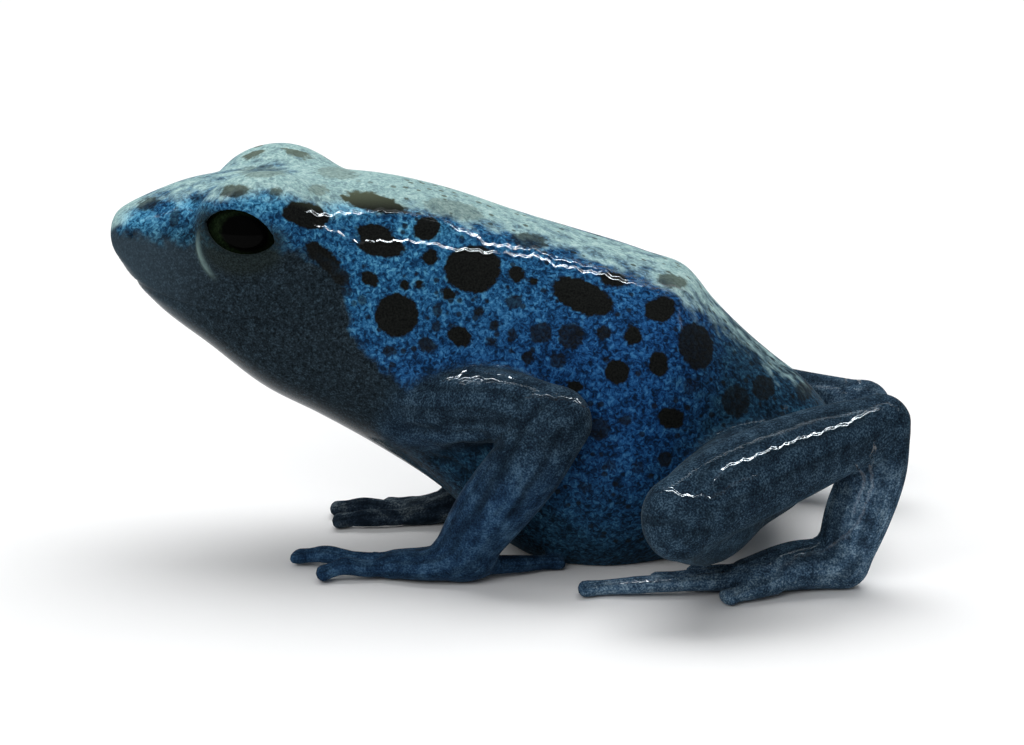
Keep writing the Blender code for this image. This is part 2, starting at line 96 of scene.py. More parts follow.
# Eyes, in the body's own (along, across, up).  The opening is oval, longer along the head.
EYE_AT = (7.9, 4.35, 2.55)
EYE_RADIUS = 2.25
EYE_SIDES = 64
EYE_ROWS = 40
EYE_OUTWARD = (-0.14, 0.97, 0.14)
LID_RADIUS = 2.85
MOUND_AT = (9.2, 4.2, 3.4)
MOUND_RADIUS = 2.8
MOUND_STRETCH = 1.25
OPENING_LENGTH = 2.1
OPENING_HEIGHT = 1.2
OPENING_CORNER = 1.35
OPENING_DEPTH = 0.6
OPENING_EDGE = 0.22
MOUND_BLEND = 1.6
LID_BLEND = 0.5
SOCKET_ROOM = 0.02
SOCKET_EDGE = 0.08

# Mouth line, nostrils and ear discs.
MOUTH_START = (1.6, -2.5)
MOUTH_END = (12.6, -1.3)
MOUTH_SAG = 0.35
NOSTRIL_AT = (1.5, 0.25)
EAR_AT = (11.7, 0.4)
EAR_RADIUS = 1.05
EAR_RISE = 0.02
EAR_SLOPE = (0.6, 0.95)

# Their relief, each as a height, a distance and a width, and how the mouth line fades at its end.
LIP_GROOVE = (-0.16, 0.0, 0.11)
LIP_ROLLS = (0.03, 0.38, 0.22)
NOSTRIL_RIM = (0.05, 0.42, 0.15)
NOSTRIL_HOLE = (-0.40, 0.0, 0.22)
EAR_RING = (-0.03, EAR_RADIUS, 0.25)
MOUTH_FADE = (0.5, 0.6)

# Dark surround of the eye, and the crescent of the lower lid's edge, raised and given a pale painted
# highlight, whose radius grows as it turns down.
SURROUND_REACH = (2.3, 3.3)
SURROUND_FLATNESS = 1.15
SURROUND_TOP = (-1.3, -0.3)
CRESCENT_RADIUS = 2.35
CRESCENT_DRIFT = 0.6
CRESCENT_TURN = (10, 56)
CRESCENT_STARTS = (8, 40)
CRESCENT_ENDS = (55, 80)
CRESCENT_WIDTH = 0.15
CRESCENT_RISE = 0.10

# How far round lips, mouth corner, lids, nostrils and ear discs the cells are smaller.
FINE_LIPS = 0.6
FINE_MOUTH_END = 0.8
FINE_LIDS = 0.25
FINE_EYE_OUT = 0.7
FINE_NOSTRIL = 0.8
FINE_EAR = 0.4

# Limbs: x, y, z, half width, half height.  Digits: x, y, z.
LEFT_ARM = {
    "upper_arm": (
        (-5.6, -4.4, 9.4, 2.2, 2.5), (-3.2, -6.8, 9.7, 2.1, 2.3), (0.0, -9.0, 10.3, 1.9, 2.0),
        (3.0, -10.6, 10.0, 1.65, 1.8),
    ),
    "forearm": (
        (3.0, -10.6, 10.0, 1.65, 1.9), (1.2, -10.3, 7.2, 1.85, 2.1), (-0.9, -9.4, 4.2, 1.7, 2.0),
        (-2.5, -8.5, 1.6, 1.4, 1.6),
    ),
    "palm": (
        (-1.9, -8.5, 1.6, 1.5, 1.35), (-4.2, -8.1, 0.95, 1.8, 0.9), (-6.2, -7.7, 0.75, 1.5, 0.7),
    ),
    "fingers": (
        ((-1.4, -8.2, 0.9), (1.0, -7.0, 0.65), (3.1, -5.6, 0.4)),
        ((-4.8, -7.1, 0.75), (-6.4, -6.4, 0.55), (-8.0, -5.7, 0.4)),
        ((-5.6, -7.4, 0.8), (-8.6, -7.0, 0.75), (-10.5, -6.3, 0.85), (-12.2, -5.4, 0.4)),
        ((-5.6, -8.1, 0.8), (-7.8, -8.5, 0.7), (-9.2, -8.7, 0.85), (-10.5, -8.9, 0.4)),
    ),
}
RIGHT_ARM = {
    "upper_arm": (
        (-5.6, 4.4, 9.4, 2.2, 2.6), (-3.4, 6.8, 9.3, 2.1, 2.5), (-0.6, 9.0, 9.0, 1.9, 2.1),
        (1.8, 10.4, 8.6, 1.7, 1.9),
    ),
    "forearm": (
        (1.8, 10.4, 8.6, 1.7, 1.9), (0.4, 9.2, 6.0, 1.9, 2.1), (-1.2, 7.0, 3.8, 1.7, 1.8),
        (-2.7, 4.9, 1.8, 1.4, 1.5),
    ),
    "palm": (
        (-2.1, 4.6, 1.5, 1.45, 1.2), (-4.2, 3.8, 0.9, 1.7, 0.85), (-6.0, 3.5, 0.65, 1.4, 0.6),
    ),
    "fingers": (
        ((-2.0, 4.4, 0.8), (-1.6, 5.6, 0.6), (-0.9, 6.8, 0.4)),
        ((-5.0, 3.0, 0.65), (-7.0, 2.3, 0.6), (-8.9, 2.0, 0.6), (-10.6, 2.0, 0.4)),
        ((-5.4, 3.9, 0.65), (-7.6, 4.3, 0.6), (-9.4, 4.6, 0.6), (-10.9, 4.6, 0.4)),
        ((-4.8, 4.5, 0.65), (-6.4, 5.3, 0.55), (-7.9, 5.8, 0.4)),
    ),
}
LEFT_LEG = {
    "thigh": (
        (14.6, -3.2, 5.7, 2.7, 3.1), (13.0, -7.2, 5.6, 2.5, 3.0), (11.2, -12.0, 5.4, 2.5, 3.1),
        (9.7, -16.2, 6.0, 2.0, 2.3),
    ),
    "shank": (
        (9.7, -16.2, 6.1, 1.9, 2.2), (12.2, -14.6, 7.25, 2.2, 2.45), (16.4, -11.6, 8.5, 2.0, 2.35),
        (20.8, -8.6, 9.45, 1.5, 1.65),
    ),
    "tarsus": (
        (20.8, -8.6, 9.45, 1.5, 1.65), (20.5, -8.7, 7.0, 1.5, 1.8), (19.6, -8.7, 4.2, 1.4, 1.85),
        (18.8, -8.7, 1.5, 1.25, 1.5),
    ),
    "sole": (
        (18.8, -8.7, 1.4, 1.25, 1.4), (16.2, -9.2, 1.4, 1.6, 1.35), (13.6, -10.1, 1.0, 1.6, 0.95),
    ),
    "toes": (
        ((15.2, -9.2, 0.8), (13.6, -7.9, 0.6), (12.5, -7.0, 0.4)),
        ((14.6, -9.2, 0.8), (12.2, -8.1, 0.6), (10.1, -7.4, 0.4)),
        ((14.2, -9.7, 0.8), (11.0, -9.3, 0.7), (8.0, -9.1, 0.4)),
        ((14.2, -10.3, 0.8), (10.6, -10.7, 0.8), (7.2, -10.9, 0.65), (4.1, -11.0, 0.4)),
        ((15.0, -10.9, 0.8), (13.4, -11.8, 0.6), (12.2, -12.4, 0.4)),
    ),
}
RIGHT_LEG = {
    "thigh": (
        (14.8, 3.2, 5.6, 2.8, 3.2), (13.6, 7.2, 5.5, 2.8, 3.1), (11.8, 12.2, 5.3, 2.5, 2.7),
        (9.8, 16.4, 5.0, 1.9, 2.1),
    ),
    "shank": (
        (9.8, 16.4, 5.0, 1.9, 2.1), (12.6, 14.8, 5.1, 2.2, 2.3), (16.6, 12.0, 5.3, 2.0, 2.0),
        (20.6, 9.2, 5.8, 1.5, 1.55),
    ),
    "tarsus": (
        (20.6, 9.2, 5.8, 1.5, 1.55), (19.4, 9.5, 4.4, 1.5, 1.5), (17.4, 10.0, 2.8, 1.35, 1.4),
        (15.0, 10.6, 1.5, 1.2, 1.2),
    ),
    "sole": (
        (15.0, 10.6, 1.3, 1.25, 1.2), (12.4, 11.2, 1.0, 1.6, 0.95), (9.8, 11.7, 0.8, 1.6, 0.75),
    ),
    "toes": (
        ((11.6, 10.6, 0.8), (9.9, 9.6, 0.6), (8.6, 8.9, 0.4)),
        ((11.2, 10.9, 0.8), (8.7, 10.0, 0.6), (6.2, 9.5, 0.4)),
        ((11.0, 11.4, 0.8), (7.7, 11.3, 0.7), (4.0, 11.2, 0.4)),
        ((11.0, 11.8, 0.8), (7.2, 12.6, 0.8), (3.6, 13.2, 0.65), (0.4, 13.6, 0.4)),
        ((11.8, 12.3, 0.8), (9.9, 13.5, 0.6), (8.2, 14.4, 0.4)),
    ),
}
DIGIT = (0.56, 0.48)
DISC = (0.82, 0.42)
DISC_LENGTH = 0.9
DISC_SHARE = 0.45
DISC_BACK = 0.5
NECK_BACK = 1.5
DIGIT_ROOT = 1.15
DIGIT_NECK = 0.85

# Steps of a limb's path per row, and the room kept round it for the soft joins.
PATH_STEPS = 6
LIMB_ROOM = 1.6

# How softly each piece melts into what it grows from, in millimetres.
BLEND = {
    "upper_arm": 0.9, "forearm": 0.45, "palm": 0.6, "fingers": 0.45,
    "thigh": 0.8, "shank": 0.3, "tarsus": 0.4, "sole": 0.6, "toes": 0.45,
}

# The grid of cells: its reach along x, y and z, its cell sizes, where the finer ones end, and how
# many layers are worked out at once.
GRID_X = (-23.6, 23.6)
GRID_Y = (-19.0, 19.2)
GRID_Z = (-0.4, 22.9)
CELL = 0.25
FINE_CELL = 0.18
HEAD_ENDS = -8.5
LAYERS = 16

# Settling onto the surface: the small step that finds the slope, and the most a point moves.
NUDGE = 0.01
LEAST_SLOPE = 0.15
MOST_MOVE = 0.15

# Gaps kept to the floor and to the frame's own box, and the length over which the snout rounds off.
FLOOR_GAP = 0.02
FLOOR_EDGE = 0.1
BOX_GAP = 0.01
SNOUT_ROOM = 0.6


def smooth(knots, values, at):
    """Cubic Hermite curve through the values, its slopes taken from the neighbours on both sides."""
    knots, values, at = (np.asarray(a, float) for a in (knots, values, at))
    slope = np.gradient(values, knots, axis=0)
    k = np.clip(np.searchsorted(knots, at, side="right") - 1, 0, len(knots) - 2)
    span = knots[k + 1] - knots[k]
    t = (at - knots[k]) / span
    t, span = t[:, None], span[:, None]
    a, b, m, n = values[k], values[k + 1], slope[k] * span, slope[k + 1] * span
    return (
        a * (2 * t**3 - 3 * t**2 + 1)
        + m * (t**3 - 2 * t**2 + t)
        + b * (3 * t**2 - 2 * t**3)
        + n * (t**3 - t**2)
    )


def union(a, b, blend):
    """The nearer of two surfaces, melted together where they are within the blend of each other."""
    t = np.clip(0.5 + 0.5 * (b - a) / blend, 0, 1)
    return b + (a - b) * t - blend * t * (1 - t)


def less(a, b, blend):
    """The first surface with the second cut away, its edge rounded by the blend."""
    return -union(-a, b, blend)


def into_body(points):
    """Distance along the body's axis, across it and above it."""
    x, y, z = np.moveaxis(points - SNOUT, -1, 0)
    along = math.cos(PITCH) * x - math.sin(PITCH) * z
    return np.stack([along, y, math.sin(PITCH) * x + math.cos(PITCH) * z], -1)


def from_body(own):
    """Design place of a point given along the body's axis, across it and above it."""
    along, across, up = np.moveaxis(np.asarray(own, float), -1, 0)
    x = math.cos(PITCH) * along + math.sin(PITCH) * up
    z = math.cos(PITCH) * up - math.sin(PITCH) * along
    return np.stack([x, across, z], -1) + SNOUT


def section(along):
    """Top, bottom, half width and level of the body's section, before its ends are rounded."""
    table = np.array(BODY)
    flat = np.clip(np.ravel(along), 0, LENGTH)
    return smooth(table[:, 0], table[:, 1:], flat).T.reshape((4,) + np.shape(along))


def trunk(points):
    """How far outside the head and trunk a point lies.

    A section is |across / wide|^p + |rise / reach|^p = radius^p.  Each end adds the distance past
    it to that radius in a power of its own, which rounds the end off."""
    along, across, up = np.moveaxis(into_body(points), -1, 0)
    top, bottom, wide, level = section(along)
    rise = up - level
    reach = np.where(rise > 0, top - level, level - bottom)
    power = np.where(rise > 0, BACK_SQUARENESS, BELLY_SQUARENESS)
    radius = (np.abs(across / wide) ** power + np.abs(rise / reach) ** power) ** (1 / power)
    size = (np.hypot(across, rise) + AXIS_REACH) / (radius + AXIS_RADIUS)
    front = np.clip(1 - along / SNOUT_ROUND, 0, None)
    rear = np.clip(1 - (LENGTH - along) / RUMP_ROUND, 0, None)
    full = (radius**SNOUT_POWER + front**SNOUT_POWER) ** (1 / SNOUT_POWER)
    full = (full**RUMP_POWER + rear**RUMP_POWER) ** (1 / RUMP_POWER)
    return (full - 1) * size


def unit(v):
    """The same direction with length 1."""
    return v / np.linalg.norm(v)


def eye_frame(side):
    """The eyeball's centre and its outward, forward and upward directions."""
    def way(v):
        return unit(from_body(v) - SNOUT)
    outward = way((EYE_OUTWARD[0], side * EYE_OUTWARD[1], EYE_OUTWARD[2]))
    forward = way((-1, 0, 0))
    forward = unit(forward - forward.dot(outward) * outward)
    upward = np.cross(outward, forward)
    upward *= np.sign(upward[2])
    return from_body((EYE_AT[0], side * EYE_AT[1], EYE_AT[2])), outward, forward, upward


def with_eyes(points, body):
    """Adds a long mound and round lids over each eye, and opens the gap between the lids."""
    own = into_body(points)
    for side in (-1, 1):
        centre, outward, forward, upward = eye_frame(side)
        away = own - np.array((MOUND_AT[0], side * MOUND_AT[1], MOUND_AT[2]))
        away[..., 0] /= MOUND_STRETCH
        mound = np.linalg.norm(away, axis=-1) - MOUND_RADIUS
        offset = points - centre
        from_eye = np.linalg.norm(offset, axis=-1)
        body = union(union(body, mound, MOUND_BLEND), from_eye - LID_RADIUS, LID_BLEND)
        out, ahead, above = offset @ outward, offset @ forward, offset @ upward
        gap = (ahead / OPENING_LENGTH) ** 2
        gap = (gap + np.abs(above / OPENING_HEIGHT) ** (2 / OPENING_CORNER)) ** 0.5
        gap = np.maximum((gap - 1) * OPENING_HEIGHT, OPENING_DEPTH - out)
        body = less(body, gap, OPENING_EDGE)
        body = less(body, from_eye - EYE_RADIUS - SOCKET_ROOM, SOCKET_EDGE)
    return body


class Limb:
    """A tube round a smooth path, oval in section, rounded at both ends."""

    def __init__(self, rows, over, blend):
        rows = np.array(rows, float)
        steps = np.linalg.norm(np.diff(rows[:, :3], axis=0), axis=1)
        knots = np.concatenate([[0], np.cumsum(steps)])
        line = smooth(knots, rows, np.linspace(0, knots[-1], PATH_STEPS * (len(rows) - 1) + 1))
        self.line, self.sizes, self.blend = line[:, :3], line[:, 3:], blend
        ways = np.gradient(self.line, axis=0)
        self.ways = ways / np.linalg.norm(ways, axis=1, keepdims=True)
        across = np.cross(over, self.ways)
        self.across = across / np.linalg.norm(across, axis=1, keepdims=True)
        reach = self.sizes.max() + LIMB_ROOM
        self.low, self.high = self.line.min(0) - reach, self.line.max(0) + reach

    def distance(self, points):
        """How far outside the tube each point lies, from the nearest place on its path."""
        start, span = self.line[:-1], np.diff(self.line, axis=0)
        offset = points[:, None] - start
        share = np.clip((offset * span).sum(-1) / (span**2).sum(-1), 0, 1)
        gap = np.linalg.norm(offset - share[..., None] * span, axis=-1)
        k = gap.argmin(1)
        t = np.take_along_axis(share, k[:, None], 1)

        def at(values):
            return values[k] * (1 - t) + values[k + 1] * t

        away, way, across = points - at(self.line), at(self.ways), at(self.across)
        above = np.cross(way, across)
        size = at(self.sizes)
        a, b, c = (away * across).sum(1), (away * above).sum(1), (away * way).sum(1)
        self.girth = np.stack([a / size[:, 0], b / size[:, 1]], 1)
        radius = np.sqrt((self.girth**2).sum(1) + (c / size.min(1)) ** 2)
        return (radius - 1) * (np.linalg.norm(away, axis=1) + PATH_REACH) / (radius + PATH_REACH)


def digit_rows(points):
    """Rows of a finger or toe: it narrows, then spreads into the flat disc at its tip."""
    root, *middle, tip = (np.array(p, float) for p in points)
    back = middle[-1] - tip
    disc = min(DISC_LENGTH, np.linalg.norm(back) * DISC_SHARE)
    back = unit(back)
    rows = [(*root, DIGIT[0] * DIGIT_ROOT, DIGIT[1] * DIGIT_ROOT)]
    rows += [(*p, *DIGIT) for p in middle]
    rows.append((*(tip + back * disc * NECK_BACK), DIGIT[0] * DIGIT_NECK, DISC[1]))
    rows.append((*(tip + back * disc * DISC_BACK), *DISC))
    return rows


def limbs():
    """Every limb piece and digit in order from the body outwards."""
    made = []
    for limb in (LEFT_ARM, RIGHT_ARM, LEFT_LEG, RIGHT_LEG):
        for name, rows in limb.items():
            over = (-1, 0, 0) if name in ("forearm", "tarsus") else (0, 0, 1)
            if name in ("fingers", "toes"):
                made += [Limb(digit_rows(p), (0, 0, 1), BLEND[name]) for p in rows]
            else:
                made.append(Limb(rows, over, BLEND[name]))
    return made


def frog(points, pieces):
    """The whole skin's function at a flat list of points; belly and feet are flat at the floor."""
    value = with_eyes(points, trunk(points))
    for piece in pieces:
        near = np.all((points > piece.low) & (points < piece.high), axis=1)
        value[near] = union(value[near], piece.distance(points[near]), piece.blend)
    return less(value, points[:, 2] - FLOOR_GAP, FLOOR_EDGE)


def grid_axes():
    """Cell borders along each axis, closer together round the head."""
    head = np.arange(GRID_X[0], HEAD_ENDS, FINE_CELL)
    x = np.concatenate([head, np.arange(HEAD_ENDS, GRID_X[1], CELL)])
    return x, np.arange(*GRID_Y, CELL), np.arange(*GRID_Z, CELL)


def sampled(axes, pieces):
    """The skin's function at every corner of the grid, worked out for each limb only near it."""
    shape = tuple(len(a) for a in axes)
    value = np.empty(shape)
    for i in range(0, shape[0], LAYERS):
        block = np.stack(np.meshgrid(axes[0][i:i + LAYERS], *axes[1:], indexing="ij"), -1)
        value[i:i + LAYERS] = with_eyes(block, trunk(block))
    for piece in pieces:
        where = tuple(
            slice(*np.searchsorted(a, (lo, hi))) for a, lo, hi in zip(axes, piece.low, piece.high)
        )
        block = np.stack(np.meshgrid(*(a[w] for a, w in zip(axes, where)), indexing="ij"), -1)
        near = piece.distance(block.reshape(-1, 3)).reshape(block.shape[:-1])
        value[where] = union(value[where], near, piece.blend)
    return less(value, axes[2][None, None, :] - FLOOR_GAP, FLOOR_EDGE)


def net(axes, value):
    """Points and four-sided faces of the surface where the sampled function is zero: one point in
    each cell whose corners differ in sign, one face across each grid edge whose ends differ."""
    inside = value < 0
    cells = [n - 1 for n in value.shape]
    corners = np.zeros(cells, int)
    for corner in itertools.product((0, 1), repeat=3):
        corners += inside[tuple(slice(c, c + n) for c, n in zip(corner, cells))]
    mixed = (corners > 0) & (corners < 8)
    number = np.full(mixed.shape, -1)
    number[mixed] = np.arange(mixed.sum())
    cell = np.argwhere(mixed)
    total, count = np.zeros((len(cell), 3)), np.zeros(len(cell))
    for axis in range(3):
        onward = np.eye(3, dtype=int)[axis]
        others = [a for a in range(3) if a != axis]
        for shift in itertools.product((0, 1), repeat=2):
            start = cell.copy()
            start[:, others] += shift
            a, b = value[tuple(start.T)], value[tuple((start + onward).T)]
            cross = (a < 0) != (b < 0)
            t = np.where(cross, a / np.where(cross, a - b, 1), 0)
            place = np.stack([axes[n][start[:, n]] for n in range(3)], 1)
            place[:, axis] += t * (axes[axis][start[:, axis] + 1] - axes[axis][start[:, axis]])
            total += place * cross[:, None]
            count += cross
    points = total / count[:, None]
    faces = []
    for axis in range(3):
        others = [(axis + 1) % 3, (axis + 2) % 3]
        edge = np.argwhere(np.diff(inside, axis=axis))
        edge = edge[(edge[:, others] > 0).all(1)]
        quad = []
        for shift in ((0, 0), (-1, 0), (-1, -1), (0, -1)):
            start = edge.copy()
            start[:, others] += shift
            quad.append(number[tuple(start.T)])
        quad = np.stack(quad, 1)
        flip = ~inside[tuple(edge.T)]
        quad[flip] = quad[flip][:, ::-1]
        faces.append(quad)
    return points, np.concatenate(faces)


def settle(points, pieces, rounds=3):
    """Moves points along the function's own slope until they lie on the surface."""
    for _ in range(rounds):
        here = frog(points, pieces)
        slope = np.stack([frog(points + NUDGE * e, pieces) - here for e in np.eye(3)], 1) / NUDGE
        length = np.maximum((slope**2).sum(1), LEAST_SLOPE)
        points = points - np.clip(here / length, -MOST_MOVE, MOST_MOVE)[:, None] * slope
    return points


# The camera: seen from the frog's left, slightly above, as in the photograph.
VIEW_DOWN = math.radians(14.0)
VIEW_ROUND = math.radians(2.5)
DISTANCE = 240.0
AIM = np.array((0.0, 0.0, 10.0))
FOCUS_PIXELS = 4176.0
IMAGE_MIDDLE = (512.0, 372.5)
IMAGE_WIDTH = 1024
SENSOR = 36.0

# Dark spots on the near side: image x, image y, half length, half height, tilt in degrees, darkness.
SPOTS = (
    (397, 315, 22, 22, 0, 1.0), (473, 269, 28, 24, 0, 1.0), (582, 296, 33, 16, 25, 1.0),
    (374, 204, 33, 10, 14, 1.0), (381, 245, 24, 12, 10, 1.0), (373, 233, 18, 9, 5, 1.0),
    (427, 230, 14, 11, 0, 1.0), (430, 257, 9, 8, 0, 1.0), (370, 279, 9, 7, 35, 1.0),
    (405, 285, 5, 5, 0, 1.0), (419, 285, 6, 5, 0, 1.0), (448, 294, 8, 6, 20, 1.0),
    (517, 274, 8, 8, 0, 1.0), (533, 281, 5, 4, 0, 1.0), (514, 302, 8, 7, 0, 0.8),
    (478, 312, 6, 5, 0, 0.9), (459, 336, 13, 10, 35, 1.0), (427, 345, 10, 7, 20, 0.9),
    (390, 351, 7, 5, 0, 0.8), (495, 326, 6, 5, 0, 0.9), (512, 334, 5, 5, 0, 0.8),
    (492, 341, 7, 4, 0, 0.8), (541, 333, 11, 11, 0, 0.85), (571, 336, 13, 13, 0, 0.85),
    (604, 333, 8, 7, 0, 0.95), (633, 336, 10, 9, 15, 1.0), (558, 361, 8, 8, 0, 0.8),
    (528, 358, 7, 6, 0, 0.9), (660, 310, 15, 12, 0, 1.0), (696, 346, 17, 24, -15, 0.95),
    (659, 364, 10, 13, -10, 1.0), (617, 372, 13, 12, 20, 1.0), (575, 387, 8, 6, 20, 1.0),
    (671, 418, 13, 11, 15, 1.0), (599, 429, 11, 11, 0, 0.8), (625, 421, 6, 5, 0, 0.8),
    (691, 386, 8, 8, 0, 0.5), (529, 242, 18, 9, 8, 0.8), (614, 281, 14, 6, 15, 1.0),
    (672, 281, 15, 7, 12, 0.8), (437, 310, 5, 7, 0, 0.8), (437, 327, 4, 6, 0, 0.8),
    (736, 401, 14, 16, 0, 0.8), (763, 388, 11, 13, 0, 0.8), (804, 391, 8, 9, 0, 0.7),
    (665, 459, 7, 8, 0, 0.9), (610, 465, 6, 6, 0, 0.5), (638, 467, 6, 6, 0, 0.5),
    (585, 487, 6, 5, 0, 0.5), (454, 210, 30, 9, 12, 0.45), (149, 204, 11, 6, -15, 0.8),
    (175, 217, 5, 9, 10, 0.7), (234, 191, 15, 6, -8, 0.85), (197, 199, 7, 4, -20, 0.6),
    (276, 192, 7, 4, 0, 0.8), (262, 172, 22, 6, 0, 0.45), (254, 151, 13, 6, -25, 0.85),
    (297, 152, 14, 5, 20, 0.8), (337, 173, 20, 6, 5, 0.4), (318, 190, 10, 5, 0, 0.5),
    (306, 215, 24, 13, 15, 1.0), (323, 257, 24, 9, 42, 1.0), (340, 276, 12, 8, 50, 0.9),
    (133, 239, 4, 6, 0, 0.8), (347, 291, 5, 5, 0, 0.7), (362, 300, 4, 5, 0, 0.7),
)
FAR_SPOT_COUNT = 150
FAR_SPOT_SIZES = (0.28, 1.5)
FAR_SPOT_RARITY = 2.6
FAR_SPOT_GAP = 0.35
FAR_SPOT_TRIES = 12
FAR_SPOT_DARKNESS = 0.95
SEED = 7

# What counts as the near side: turned to the camera by this share, and no farther across than this.
TURNED_TO = 0.02
NEAR_UNTIL = 3.5
FAR_AWAY = 9.0

# Upper edge of the charcoal throat and cheek, and of the dark lower flank: along the axis, height.
CHARCOAL_EDGE = (
    (0.0, 0.0), (1.4, 0.45), (2.9, 0.75), (4.5, 1.2), (5.9, 1.6), (8.0, 2.3), (10.4, 2.9),
    (12.4, 2.6), (13.9, 1.9), (15.0, -0.5), (16.3, -1.7), (18.0, -2.7), (19.6, -3.2),
    (22.0, -3.8), (24.5, -4.8), (27.0, -6.6), (30.0, -8.2), (34.0, -9.4), (43.2, -10.0),
)

# The ridge between flank and back, drawn out a little: along the axis, height.
RIDGE = (
    (0.0, 1.1), (3.0, 2.6), (6.0, 4.2), (9.0, 5.2), (12.0, 5.0), (15.8, 5.8), (21.6, 6.0),
    (27.5, 5.82), (32.0, 5.4), (35.0, 4.1), (38.5, 2.4), (43.2, 0.9),
)
RIDGE_PART = slice(4, 9)
RIDGE_BELOW = 0.25
RIDGE_RISE = 0.2
RIDGE_WIDTH = 0.6

# Wet creases on flank and near limbs, as image x and y: upper and lower line of each pair.  The
# film of water lies on the left of each line, seen along its way.
WET_UPPER = (
    ((310, 214), (330, 217), (373, 215), (381, 212), (408, 217), (424, 217), (440, 221), (459, 233),
     (487, 246), (506, 250), (534, 252), (557, 262), (604, 272), (644, 284), (683, 290)),
    ((716, 482), (723, 470), (767, 453), (801, 440), (842, 427), (876, 410)),
    ((510, 376), (494, 371), (478, 369), (462, 371), (448, 378)),
    ((588, 405), (576, 399), (560, 397), (545, 395), (530, 396)),
    ((873, 446), (869, 466), (871, 486), (864, 505), (858, 520), (843, 536), (826, 548), (797, 556)),
)
WET_LOWER = (
    ((318, 226), (330, 231), (345, 238), (361, 244), (389, 242), (428, 244), (448, 250), (495, 254)),
    ((507, 255), (535, 259), (561, 268), (604, 278), (636, 288), (663, 292), (679, 294)),
    ((665, 490), (682, 496), (712, 499), (734, 486), (753, 477)),
    ((500, 380), (480, 376), (460, 379)),
    ((790, 560), (778, 566), (745, 565), (712, 568)),
    ((857, 468), (864, 480), (857, 497), (852, 512)),
    ((600, 585), (640, 584), (690, 578), (720, 572)),
)

# Where the water beside a crease starts to thin and ends, in millimetres; how creases and grooves
# wander across and up the image, as waves of a height in pixels and a turn per pixel.
WET_REACH = (0.2, 0.36)
CREASE_WAVES = (((0.8, 0.5),), ((1.1, 0.45), (0.8, 0.19)))
GROOVE_WAVES = (((1.2, 0.21),), ((1.2, 0.17),))

# Grooves of shoulder and forearm, sunk and darkened with painted shade, as image x and y, half width
# in pixels, depth in millimetres.
GROOVE_WIDTH = 7
GROOVE_DEPTH = 0.16
GROOVES = (
    ((398, 428), (425, 431), (445, 425), (470, 420), (505, 424)),
    ((446, 452), (462, 446), (482, 449), (500, 446)),
    ((436, 458), (452, 464), (468, 474)),
    ((538, 406), (522, 428), (504, 460), (486, 492), (478, 510)),
    ((562, 430), (547, 458), (530, 486), (512, 516)),
)

# Patches of painted light in brighter cyan, as image x, y, half length and half height, and how fast
# they set in.
PATCH_GAIN = 1.8
LIT_PATCHES = (
    (266, 202, 42, 15), (138, 219, 22, 14), (277, 151, 11, 9), (345, 212, 46, 12), (190, 207, 26, 9),
    (425, 230, 40, 12),
)

# Where the skin changes its look, each pair from start to end of a change in millimetres: on the
# trunk along, across or above its axis, on the limbs along x, y and downwards.
BODY_EDGE = (-0.5, 0.5)
GIRTH_BLEND = 0.25
PLAIN_BELOW_EDGE = (-0.3, 0.5)
PLAIN_ENDS = (15.5, 18.5)
PLAIN_SIDE = (-6.5, -5.5)
FOREARM_LOW = (-9.5, -5.0)
FOREARM_AHEAD = (-5.5, -4.0)
FAR_HAND_SHADE_SIDE = (0.0, 1.4)
LEG_BEHIND = (17.0, 19.5)
LEG_LOW = (-8.5, -5.0)
TOES_BEHIND = (3.5, 5.0)
TOES_LOW = (-2.6, -1.6)
THROAT_ENDS = (17, 25)

# Shares: where in the lower half the wet throat sets in, what counts as trunk, the least weight.
THROAT_SHARE = (0.55, 0.98)
MOSTLY_BODY = 0.6
LEAST_WEIGHT = 1e-9

